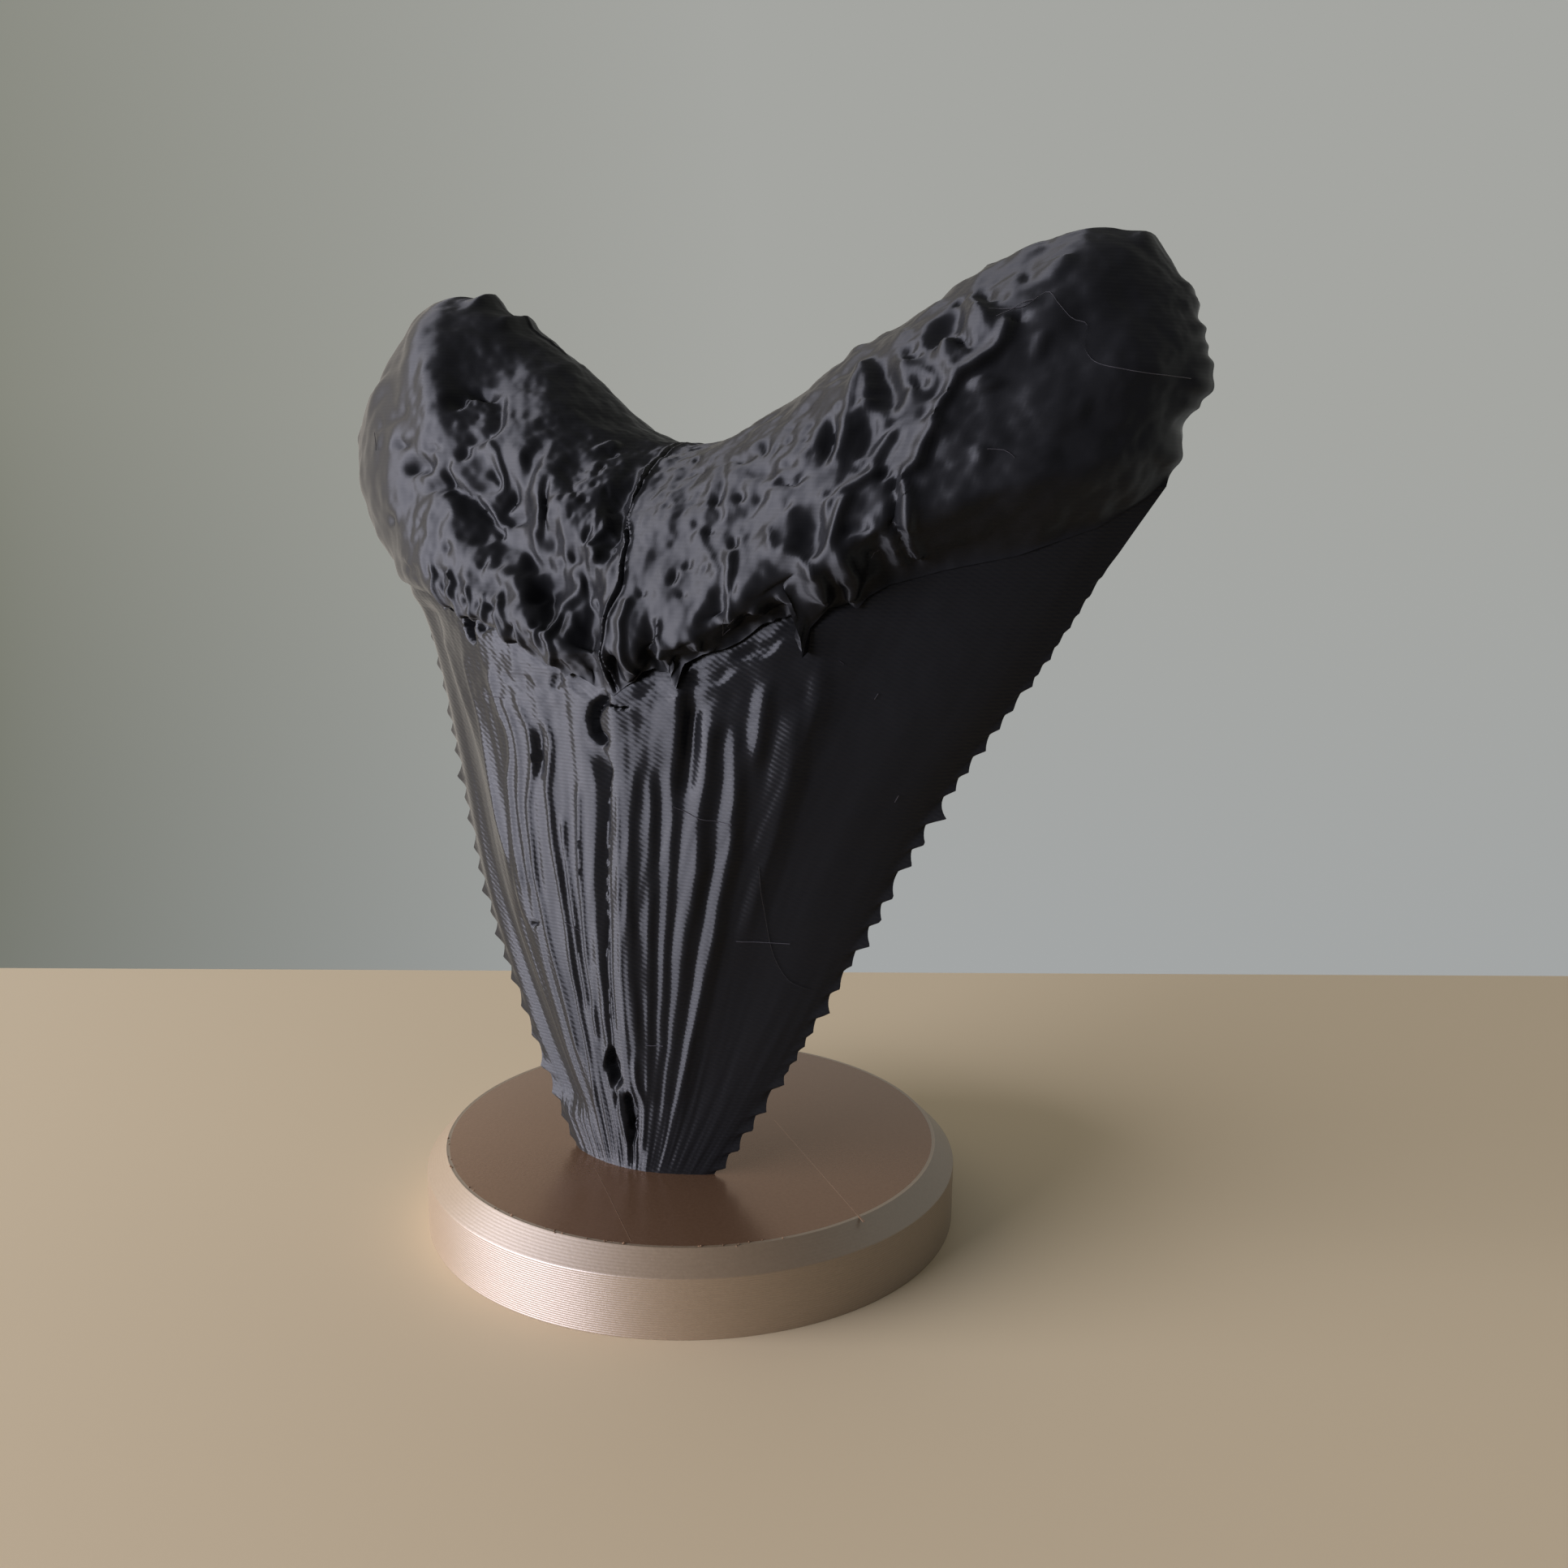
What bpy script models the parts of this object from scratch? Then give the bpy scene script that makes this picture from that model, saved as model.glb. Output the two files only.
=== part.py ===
"""A megalodon tooth, tip down, planted in a round display disc.

The tooth is one body. Its front (tongue side) bulges toward -Y, its back is
flatter, and the two meet in a serrated cutting edge down both sides of the
crown and in a round rim over the two lobes of the root. The form is a grid:
`across` runs from the left edge (-1) to the right edge (+1), and the rows
run up from the cut tip, over the gum line, to the top of the root.
"""

import math

import bmesh
import bpy
import numpy as np

MM = 0.001                      # every length below is in millimetres

# The display disc, turned about Z, with its underside at Z = 0
DISC_RADIUS = 25.0
DISC_HEIGHT = 7.2
CHAMFER_IN = 1.8
CHAMFER_DOWN = 1.8
CHAMFER_ROUND = 0.35            # softens the chamfer's upper edge
DISC_STEPS = 96
SOCKET_FLOOR = 3.2
FIT_GAP = 0.35                  # between the tooth and its socket

# The tooth stands in front of the disc's centre and leans back
EDGE_Y = -7.9                   # the cutting edges, at the disc's top
LEAN = 0.18                     # how far back they go for each mm of height
CUT_Z = 3.55                    # the sawn-off tip, down in the socket

# Outlines (X, Z) as seen from the front
LEFT_EDGE = [(-6.6, CUT_Z), (-8.4, 7.2), (-10.4, 10.8), (-15.2, 19.2),
             (-20.8, 30.8), (-25.5, 44.3), (-29.4, 54.6), (-32.0, 59.7)]
RIGHT_EDGE = [(4.1, CUT_Z), (6.5, 7.4), (11.0, 15.0), (17.6, 27.8),
              (23.7, 40.6), (32.9, 55.2), (37.5, 63.2), (40.7, 68.4)]
GUM_LINE = [(-32.0, 59.7), (-29.0, 56.8), (-23.0, 55.7), (-17.2, 54.0),
            (-9.8, 52.6), (-0.9, 50.5), (8.1, 53.3), (15.0, 56.5),
            (21.9, 60.4), (30.3, 62.8), (36.0, 65.1), (40.7, 68.4)]
LEFT_LOBE = [(-32.0, 59.7), (-34.4, 62.1), (-37.6, 67.5), (-38.4, 73.0),
             (-37.2, 77.2), (-34.0, 81.8)]
RIGHT_LOBE = [(40.7, 68.4), (41.1, 70.4), (41.9, 73.6), (43.1, 77.2),
              (42.3, 80.8), (40.9, 84.0)]
ROOT_TOP = [(-34.0, 81.8), (-32.0, 84.2), (-29.0, 85.6), (-24.4, 84.9),
            (-20.4, 82.7), (-15.2, 79.6), (-6.0, 73.0), (-2.8, 71.9),
            (1.0, 72.0), (6.6, 74.3), (14.0, 79.2), (22.8, 84.6),
            (29.0, 88.0), (34.3, 89.0), (38.2, 87.6), (40.9, 84.0)]
GUM_MIDDLE = 5                  # the point of GUM_LINE on the midline
TOP_MIDDLE = 7                  # the point of ROOT_TOP on the midline

# How far the front stands off the cutting edges down the midline (Z, depth)
MIDRIB = [(CUT_Z, 1.7), (7.2, 2.3), (13.0, 3.6), (19.0, 5.2), (26.0, 7.2),
          (33.0, 8.7), (41.0, 10.0), (46.0, 11.0), (52.0, 12.0)]
BACK_SHARE = 0.32               # the back bulges this much of the front
# How far the root's front stands off them, from the left lobe (-1) to the right (1)
ROOT_SWELL = [(-1.0, 6.5), (-0.88, 7.4), (-0.75, 9.0), (-0.62, 11.0), (-0.5, 12.4),
              (-0.25, 14.6), (0.0, 15.8), (0.25, 15.6), (0.45, 15.2), (0.58, 14.3),
              (0.75, 11.8), (0.9, 9.2), (1.0, 8.5)]
ROOT_BACK = 5.5
LOBE_BACK = 6.5
FRONT_RIM = 8.0                 # width of the rim's rounding
BACK_RIM = 7.0
GUM_LEDGE = 0.9                 # how proud the root stands over the crown

# Serrations: (Z of a point, how far it stands out)
LEFT_POINTS = [
    (8.0, 0.30), (9.4, 0.50), (11.5, 0.65), (13.8, 0.80), (16.5, 0.45),
    (19.0, 0.50), (21.5, 0.45), (23.4, 0.50), (25.4, 0.65), (27.4, 0.45),
    (29.4, 0.65), (31.5, 0.45), (33.4, 0.40), (36.0, 0.45), (37.7, 0.40),
    (40.0, 0.75), (42.4, 0.40), (44.2, 0.45), (45.8, 0.45), (48.5, 0.25),
]
RIGHT_POINTS = [
    (7.9, 0.60), (9.4, 0.90), (11.8, 0.75), (13.6, 0.85), (15.8, 0.65),
    (18.5, 0.55), (20.0, 0.45), (21.5, 0.45), (23.3, 0.95), (25.8, 0.55),
    (27.8, 0.40), (29.5, 0.75), (31.6, 0.65), (33.8, 0.55), (36.4, 0.60),
    (38.2, 0.65), (40.6, 1.15), (43.0, 0.45), (44.6, 0.45), (46.5, 0.50),
    (48.0, 0.35), (49.6, 0.40), (52.0, 0.40), (53.6, 0.35), (55.6, 0.20),
]
POINT_UNDER = 0.55              # height of a point's short lower side
POINT_OVER = 2.0                # and of its long upper side
POINT_ROOT = 1.3                # how far in from the edge they begin
POINT_SINK = 0.15               # how far the edge between them lies in

# Flutes of the crown: (across, height, half width in mm, lowest Z, highest Z).
# The one below zero is the slit that runs down the midline.
FLUTES = [
    (-0.66, 0.20, 0.60, 22, 50), (-0.56, 0.35, 0.55, 18, 50),
    (-0.46, 0.30, 0.50, 16, 48), (-0.38, 0.45, 0.45, 12, 49),
    (-0.31, 0.35, 0.40, 16, 47), (-0.24, 0.45, 0.45, 10, 48),
    (-0.155, 0.40, 0.50, 14, 46), (-0.09, 0.30, 0.35, 9, 47),
    (-0.048, -0.75, 0.30, 14, 50), (0.00, 0.45, 0.35, 9, 49),
    (0.055, 0.35, 0.40, 20, 46), (0.115, 0.30, 0.45, 12, 45),
    (0.175, 0.55, 0.50, 10, 47), (0.245, 0.55, 0.50, 12, 48),
    (0.34, 0.60, 0.55, 18, 51), (0.43, 0.45, 0.65, 24, 52),
    (0.50, 0.40, 0.55, 28, 50), (0.60, 0.15, 0.90, 24, 52),
]
FLUTE_SWAY = (0.012, 3.1)       # how far they wander, and over what height

# Hollows (X, Z, half length, half width, turn in degrees, depth)
CROWN_HOLLOWS = [(-1.7, 16.4, 4.2, 1.1, 95, 1.3), (-2.9, 48.4, 2.0, 0.7, 90, 0.9)]
ROOT_HOLLOWS = [
    (-25.8, 69.9, 1.3, 0.8, 20, 1.1), (-22.9, 67.9, 1.6, 1.0, 15, 1.2),
    (-20.1, 68.2, 1.6, 1.1, -30, 1.2), (-16, 66.5, 3.0, 1.0, -35, 1.4),
    (-13.3, 66.6, 2.4, 0.8, 60, 1.1), (-17.7, 75.3, 2.4, 0.9, 55, 1.2),
    (-20.9, 76.2, 1.4, 1.0, 0, 0.9), (-17.1, 62.5, 2.2, 0.8, 40, 0.9),
    (-9.4, 66, 3.4, 1.0, 88, 1.2), (-12.1, 60, 3.6, 1.1, 25, 1.2),
    (-17.9, 55.9, 0.9, 1.8, 10, 1.1), (3.2, 54.9, 2.2, 1.1, 85, 1.3),
    (9.9, 63.7, 0.8, 0.6, 0, 0.9), (4.9, 61, 1.3, 0.5, 60, 0.8),
    (9.5, 67.6, 1.6, 1.0, 10, 0.8), (12.8, 69, 1.8, 0.7, 25, 0.9),
    (14.7, 59.8, 2.6, 1.4, 35, 1.3), (18.5, 65.5, 2.2, 1.4, 50, 1.2),
    (20.9, 62.9, 2.0, 0.8, 70, 1.1), (25.2, 79.6, 2.2, 1.2, 20, 0.9),
    (19.3, 74, 2.6, 1.0, 75, 1.1), (22.7, 77.9, 1.8, 0.9, 40, 0.9),
    (27.6, 77.3, 1.4, 0.9, 60, 0.8), (24.2, 66.6, 3.2, 0.7, 100, 1.2),
]

# Raised folds of the root: (path of (X, Z) points, height, half width)
ROOT_FOLDS = [
    ([(17.7, 75.8), (17.5, 71.9), (18.4, 69)], 0.8, 0.8),
    ([(28.1, 79.6), (25.9, 75.7), (25.1, 70.4), (23.1, 63.1)], 1.1, 0.9),
    ([(25.9, 75.7), (22.1, 71.8), (18.7, 67.6)], 0.9, 0.9),
    ([(21.4, 68.9), (19.3, 62.1), (18.4, 58.6)], 1.0, 1.0),
    ([(12.3, 62.7), (15.7, 60.8), (15.6, 56)], 0.9, 0.9),
    ([(5.1, 66.2), (9.5, 64.9), (13.7, 66.4)], 0.6, 0.6),
    ([(-23.3, 79.6), (-25.2, 74.9), (-26, 70)], 0.8, 1.2),
    ([(-11.7, 68), (-12.3, 63.6), (-15.7, 61.7)], 0.8, 0.9),
    ([(-7.3, 68), (-6.9, 62), (-8.7, 57)], 0.8, 1.1),
]
# Knobs that break the rim of the root: (X, Z, radius, height)
RIM_KNOBS = [(-25.2, 85.0, 1.2, 0.9), (-22.0, 83.4, 1.0, 0.8),
             (15.4, 79.9, 1.3, 0.6), (23.6, 84.8, 1.6, 0.5),
             (41.9, 81.2, 1.5, 0.5), (42.9, 77.2, 1.5, 0.5)]
# The nutrient groove, from the notch down to the gum line (X, Z)
GROOVE = [(-2.0, 71.7), (-1.4, 69.9), (-0.4, 66.6), (0.2, 62.5),
          (-0.5, 58.6), (-1.1, 55.4), (-1.1, 52.7), (-0.9, 50.3)]
GROOVE_DEPTH = 1.0
GROOVE_HALF = 0.35
LIP_OFFSET = 0.75               # its two raised lips
LIP_HEIGHT = 0.3
VALLEY_OFFSET = -2.2            # and the broad valley left of it
VALLEY_DEPTH = 1.1
VALLEY_HALF = 2.4

# Lumpy ground of the root: (size of a lump, height, seed)
ROOT_LUMPS = [(9.0, 1.1, 11), (4.6, 0.8, 12)]
BACK_LUMPS = [(10.0, 1.1, 21), (5.0, 0.6, 22)]
LUMP_SINK = 0.5                 # keeps the lumps' tops near the smooth form
RIM_CALM = 0.35                 # lumps are this much of their height at the rim
RIM_WIDTH = 3.5                 # and all of it this far in
RAG_SIZE = 3.0                  # the gum line's ragged drips
RAG_HEIGHT = 1.0

# Grid and final triangle count
COLUMNS = 121
CROWN_ROWS = 151
ROOT_ROWS = 61
TOOTH_TRIANGLES = 8600


def spline(points, where):
    """Smooth curve through points, at `where` from 0 (start) to 1 (end)."""
    p = np.asarray(points, float)
    steps = np.linalg.norm(np.diff(p, axis=0), axis=1) ** 0.75
    knots = np.concatenate([[0.0], np.cumsum(steps)])
    knots /= knots[-1]
    slope = np.gradient(p, knots, axis=0)
    where = np.asarray(where, float)
    i = np.clip(np.searchsorted(knots, where, side="right") - 1, 0, len(p) - 2)
    span = (knots[i + 1] - knots[i])[:, None]
    x = (where - knots[i])[:, None] / span
    start = (2 * x**3 - 3 * x**2 + 1) * p[i] + (x**3 - 2 * x**2 + x) * span * slope[i]
    end = (3 * x**2 - 2 * x**3) * p[i + 1] + (x**3 - x**2) * span * slope[i + 1]
    return start + end


def to_middle(where, points, middle):
    """Shift `where` smoothly so that 0.5 falls on the point number `middle`."""
    p = np.asarray(points, float)
    steps = np.linalg.norm(np.diff(p, axis=0), axis=1) ** 0.75
    share = steps[:middle].sum() / steps.sum()
    return where + (share - 0.5) * 4 * where * (1 - where)


def patch(bottom, top, left, right, u, v):
    """Grid of points that fills the four curves round it."""
    u = u[None, :, None]
    v = v[:, None, None]
    sides = (1 - u) * left[:, None] + u * right[:, None]
    ends = (1 - v) * bottom[None] + v * top[None]
    corners = (1 - v) * ((1 - u) * bottom[0] + u * bottom[-1])
    corners = corners + v * ((1 - u) * top[0] + u * top[-1])
    return sides + ends - corners


def ease(low, high, x):
    """0 below low, 1 above high, smooth between."""
    x = np.clip((x - low) / (high - low), 0, 1)
    return x * x * (3 - 2 * x)


def path_distance(points, path):
    """Distance of each point to a path, and on which side of it they lie."""
    flat = points.reshape(-1, 2)
    best = np.full(len(flat), np.inf)
    side = np.ones(len(flat))
    for a, b in zip(path[:-1], path[1:]):
        a = np.asarray(a, float)
        run = np.asarray(b, float) - a
        if run @ run < 1e-12:
            continue
        along = np.clip((flat - a) @ run / (run @ run), 0, 1)
        off = flat - a - along[:, None] * run
        square = (off**2).sum(axis=1)
        turn = np.sign(run[0] * off[:, 1] - run[1] * off[:, 0])
        side = np.where(square < best, turn, side)
        best = np.minimum(best, square)
    return np.sqrt(best).reshape(points.shape[:-1]), side.reshape(points.shape[:-1])


def bell(distance, half):
    return np.exp(-(distance / half) ** 2)


def lump_noise(points, seed):
    """Smooth noise, about -1 to 1, with lumps one unit across."""
    cell = np.floor(points).astype(np.int64)
    f = points - cell
    fade = f * f * f * (f * (f * 6 - 15) + 10)
    total = np.zeros(points.shape[:-1])
    for corner in np.ndindex(2, 2, 2):
        c = cell + corner
        code = (c[..., 0] * 73856093) ^ (c[..., 1] * 19349663) ^ (c[..., 2] * 83492791)
        code = (code + seed * 9176) & 0xFFFFFF
        code = (code * 1103515245 + 12345) & 0x7FFFFFFF
        code = ((code >> 9) * 2654435761) & 0x7FFFFFFF
        turn = (code & 0xFFF) / 4096.0 * 2 * np.pi
        lift = ((code >> 12) & 0xFFF) / 2048.0 - 1.0
        flat = np.sqrt(1 - lift**2)
        slope = np.stack([flat * np.cos(turn), flat * np.sin(turn), lift], axis=-1)
        weight = np.prod(np.where(np.array(corner) == 1, fade, 1 - fade), axis=-1)
        total += weight * (slope * (f - corner)).sum(axis=-1)
    return 1.6 * total


def lumps(points, layers):
    """Lumps of several sizes, rounded on top and creased where they meet."""
    height = np.zeros(points.shape[:-1])
    for size, tall, seed in layers:
        n = lump_noise(points / size, seed)
        height += tall * (1.6 * np.sqrt(n * n + 0.01) - LUMP_SINK)
    return height


def hollow(plane, x, z, long, wide, turn, depth):
    """Oval hollow with a steep wall."""
    c, s = math.cos(math.radians(turn)), math.sin(math.radians(turn))
    dx = plane[..., 0] - x
    dz = plane[..., 1] - z
    r = np.hypot((dx * c + dz * s) / long, (dz * c - dx * s) / wide)
    return -depth * (1 - ease(0.55, 1.25, r))


def outline_grid():
    """Grid of (X, Z) points, and the parameters of its columns and rows."""
    across = np.linspace(-1, 1, COLUMNS)
    across = across * (1.22 - 0.22 * across**2)
    u = 0.5 + 0.5 * across
    crown_v = np.linspace(0, 1, CROWN_ROWS)
    root_v = np.sin(np.linspace(0, 1, ROOT_ROWS) * math.pi / 2)
    left = spline(LEFT_EDGE, crown_v)
    right = spline(RIGHT_EDGE, crown_v)
    cut = np.outer(1 - u, left[0]) + np.outer(u, right[0])
    gum = spline(GUM_LINE, to_middle(u, GUM_LINE, GUM_MIDDLE))
    top = spline(ROOT_TOP, to_middle(u, ROOT_TOP, TOP_MIDDLE))
    crown = patch(cut, gum, left, right, u, crown_v)
    root = patch(gum, top, spline(LEFT_LOBE, root_v), spline(RIGHT_LOBE, root_v), u, root_v)
    return across, root_v, crown, root


def rim_distance(root):
    """How far each point of the root is from its outer rim."""
    ends = np.linspace(0, 1, 24)
    rim = np.vstack([spline(LEFT_LOBE, ends), spline(ROOT_TOP, np.linspace(0, 1, 120)),
                     spline(RIGHT_LOBE, ends)[::-1]])
    return path_distance(root, rim)[0]


def smooth_depths(across, root_v, crown, inside):
    """How far front and back stand off the plane of the cutting edges."""
    middle = len(across) // 2
    rib_z, rib_depth = zip(*MIDRIB)
    rib = np.interp(crown[:, middle, 1], rib_z, rib_depth)[:, None]
    crown_front = rib * (1 - across**2) ** 1.1
    crown_back = BACK_SHARE * rib * (1 - across**2) ** 0.9
    v = root_v[:, None]
    out = np.abs(across)
    line = spline(ROOT_SWELL, np.linspace(0, 1, 200))
    swell = np.interp(across, line[:, 0], line[:, 1])
    front = swell * (1 - 0.3 * v) * rounding(inside, FRONT_RIM)
    back = (ROOT_BACK + (LOBE_BACK - ROOT_BACK) * out) * rounding(inside, BACK_RIM)
    start = ease(0.0, 0.24, v)
    ledge = GUM_LEDGE * rounding(inside, FRONT_RIM) * (1 - start)
    root_front = (crown_front[-1] + ledge) * (1 - start) + front * start
    root_back = crown_back[-1] * (1 - start) + back * start
    return crown_front, crown_back, root_front, root_back


def rounding(inside, width):
    """Quarter-round from the rim inward."""
    return np.sqrt(1 - (1 - np.clip(inside / width, 0, 1)) ** 2)


def crown_relief(across, crown):
    """Flutes and hollows, fading where the crown enters the disc."""
    z = crown[..., 1]
    half = (crown[:, -1, 0] - crown[:, 0, 0])[:, None] / 2
    relief = np.zeros(z.shape)
    far, tall = FLUTE_SWAY
    for centre, height, wide, low, high in FLUTES:
        sway = far * np.sin(z / tall + 40 * centre)
        length = ease(low - 3, low + 3, z) * (1 - ease(high - 2, high + 1, z))
        relief += height * bell((across - centre - sway) * half, wide) * length
    for place in CROWN_HOLLOWS:
        relief += hollow(crown, *place)
    return relief * ease(DISC_HEIGHT + 0.5, DISC_HEIGHT + 3, z)


def groove_relief(root):
    off, side = path_distance(root, spline(GROOVE, np.linspace(0, 1, 40)))
    off = off * side
    relief = -GROOVE_DEPTH * bell(off, GROOVE_HALF)
    for lip in (-LIP_OFFSET, LIP_OFFSET):
        relief += LIP_HEIGHT * bell(off - lip, GROOVE_HALF)
    return relief - VALLEY_DEPTH * bell(off - VALLEY_OFFSET, VALLEY_HALF)


def root_relief(root, solid):
    """Everything that stands on or is cut into the root's front."""
    relief = lumps(solid, ROOT_LUMPS) + groove_relief(root)
    for place in ROOT_HOLLOWS:
        relief += hollow(root, *place)
    for path, height, wide in ROOT_FOLDS:
        off, _ = path_distance(root, path)
        relief += height * bell(off, wide)
    return relief


def knob_relief(plane):
    relief = np.zeros(plane.shape[:-1])
    for x, z, radius, height in RIM_KNOBS:
        relief += height * bell(np.hypot(plane[..., 0] - x, plane[..., 1] - z), radius)
    return relief


def serration(z, points):
    """Hooked points up an edge, each with a short side below and a long one above."""
    out = np.zeros(z.shape)
    for height, reach in points:
        under = 1 + (z - height) / POINT_UNDER
        over = np.clip(1 - (z - height) / POINT_OVER, 0, 1) ** 1.5
        out = np.maximum(out, reach * np.where(z < height, under, over))
    low, high = points[0][0], points[-1][0]
    between = ease(low - POINT_OVER, low, z) * (1 - ease(high, high + POINT_OVER, z))
    return out - POINT_SINK * between


def facing(sheet):
    """Unit normals of a grid of points, on its front (-Y) side."""
    across = np.gradient(sheet, axis=1)
    up = np.gradient(sheet, axis=0)
    n = np.cross(across, up)
    return n / np.maximum(np.linalg.norm(n, axis=-1, keepdims=True), 1e-9)


def in_space(plane, depth):
    edge_y = EDGE_Y + LEAN * (plane[..., 1] - DISC_HEIGHT)
    return np.stack([plane[..., 0], edge_y + depth, plane[..., 1]], axis=-1)


def tooth_sheets():
    """The front and the back of the tooth, as two grids with one rim."""
    across, root_v, crown, root = outline_grid()
    inside = rim_distance(root)
    crown_front, crown_back, root_front, root_back = smooth_depths(
        across, root_v, crown, inside)

    # drips: the gum line's ledge hangs lower here and there
    rag = lump_noise(np.stack([root[1:4, :, 0] / RAG_SIZE] * 3, axis=-1), 5)
    root[1:4, :, 1] -= RAG_HEIGHT * np.clip(rag, -0.3, 1) * (1 - across**6)

    plane = np.vstack([crown, root[1:]])
    front = in_space(plane, -np.vstack([crown_front, root_front[1:]]))
    back = in_space(plane, np.vstack([crown_back, root_back[1:]]))

    free = 1 - across**8                       # no relief on the rim of the crown
    crown_free = np.tile(free, (len(crown), 1))
    root_free = RIM_CALM + (1 - RIM_CALM) * ease(0.0, RIM_WIDTH, inside[1:])
    front_relief = np.vstack([crown_relief(across, crown) * crown_free,
                              root_relief(root[1:], front[len(crown):]) * root_free])
    back_relief = np.vstack([np.zeros(crown.shape[:-1]),
                             lumps(back[len(crown):], BACK_LUMPS) * root_free])
    rise = np.linspace(0, 1, len(root_back))[1:, None]
    back_relief[len(crown):] *= ease(0.0, 0.15, rise)
    knobs = knob_relief(plane)
    front += facing(front) * (front_relief + knobs)[..., None]
    back -= facing(back) * (back_relief + knobs)[..., None]

    # the two sheets share their rim
    rim = [(slice(None), 0), (slice(None), -1), (-1, slice(None))]
    for at in rim:
        middle = (front[at] + back[at]) / 2
        front[at] = middle
        back[at] = middle
    rows = len(crown)
    for column, points, outward in ((0, LEFT_POINTS, -1), (-1, RIGHT_POINTS, 1)):
        from_edge = np.abs(crown[..., 0] - crown[:, [column], 0])
        near = (1 - ease(0.0, POINT_ROOT, from_edge)) ** 2
        grow = outward * near * serration(crown[:, [column], 1], points)
        for sheet in (front, back):
            sheet[:rows, :, 0] += grow
    return front, back


def closed_tooth(front, back):
    """One closed mesh of the two sheets and the flat cut at the tip."""
    rows, columns, _ = front.shape
    mesh = bmesh.new()
    grid = [[mesh.verts.new(p * MM) for p in row] for row in front]
    behind = [list(row) for row in grid]
    for r in range(rows - 1):
        for c in range(1, columns - 1):
            behind[r][c] = mesh.verts.new(back[r, c] * MM)
    for r in range(rows - 1):
        for c in range(columns - 1):
            mesh.faces.new((grid[r][c], grid[r][c + 1], grid[r + 1][c + 1], grid[r + 1][c]))
            turned = (behind[r][c], behind[r + 1][c], behind[r + 1][c + 1], behind[r][c + 1])
            mesh.faces.new(turned)
    cut = grid[0][::-1] + behind[0][1:-1]
    mesh.faces.new(cut)
    bmesh.ops.triangulate(mesh, faces=mesh.faces[:])
    return mesh


def finish_material(name, colour, roughness, metallic=0.0):
    material = bpy.data.materials.new(name)
    material.use_nodes = True
    shader = material.node_tree.nodes["Principled BSDF"]
    shader.inputs["Base Color"].default_value = (*colour, 1.0)
    shader.inputs["Roughness"].default_value = roughness
    shader.inputs["Metallic"].default_value = metallic
    material.diffuse_color = (*colour, 1.0)
    return material


def add_object(name, mesh, material):
    data = bpy.data.meshes.new(name)
    mesh.to_mesh(data)
    mesh.free()
    data.shade_smooth()
    data.set_sharp_from_angle(angle=math.radians(40))
    item = bpy.data.objects.new(name, data)
    if material:
        data.materials.append(material)
    bpy.context.collection.objects.link(item)
    return item


def build_tooth(front, back, material):
    """The tooth, thinned out everywhere but on its serrated edges."""
    mesh = closed_tooth(front, back)
    count = len(mesh.faces)
    tooth = add_object("tooth", mesh, material)
    columns = front.shape[1]
    edge = {row * columns + side for row in range(CROWN_ROWS) for side in (0, columns - 1)}
    free = tooth.vertex_groups.new(name="may be thinned")
    free.add([i for i in range(len(tooth.data.vertices)) if i not in edge], 1.0, "REPLACE")
    thin = tooth.modifiers.new("fewer triangles", "DECIMATE")
    thin.ratio = TOOTH_TRIANGLES / count
    thin.vertex_group = free.name
    thin.vertex_group_factor = 1.0
    thin.use_collapse_triangulate = True
    return tooth


def socket_cutter(front, back):
    """Prism of the tooth's section at the disc's top, grown by the gap."""
    level = int(np.argmin(np.abs(front[:, 0, 2] - DISC_HEIGHT - 0.4)))
    ring = np.vstack([front[level, ::4, :2], back[level, -5:0:-4, :2]])
    ahead = np.roll(ring, -1, axis=0) - np.roll(ring, 1, axis=0)
    outward = np.stack([ahead[:, 1], -ahead[:, 0]], axis=-1)
    outward /= np.linalg.norm(outward, axis=1, keepdims=True)
    ring = (ring + outward * FIT_GAP) * MM
    mesh = bmesh.new()
    base = mesh.faces.new([mesh.verts.new((x, y, SOCKET_FLOOR * MM)) for x, y in ring])
    risen = bmesh.ops.extrude_face_region(mesh, geom=[base])["geom"]
    top = [v for v in risen if isinstance(v, bmesh.types.BMVert)]
    bmesh.ops.translate(mesh, vec=(0, 0, (DISC_HEIGHT - SOCKET_FLOOR + 2) * MM), verts=top)
    bmesh.ops.recalc_face_normals(mesh, faces=mesh.faces[:])
    cutter = add_object("socket_cutter", mesh, None)
    cutter.hide_render = True
    cutter.display_type = "WIRE"
    return cutter


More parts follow.
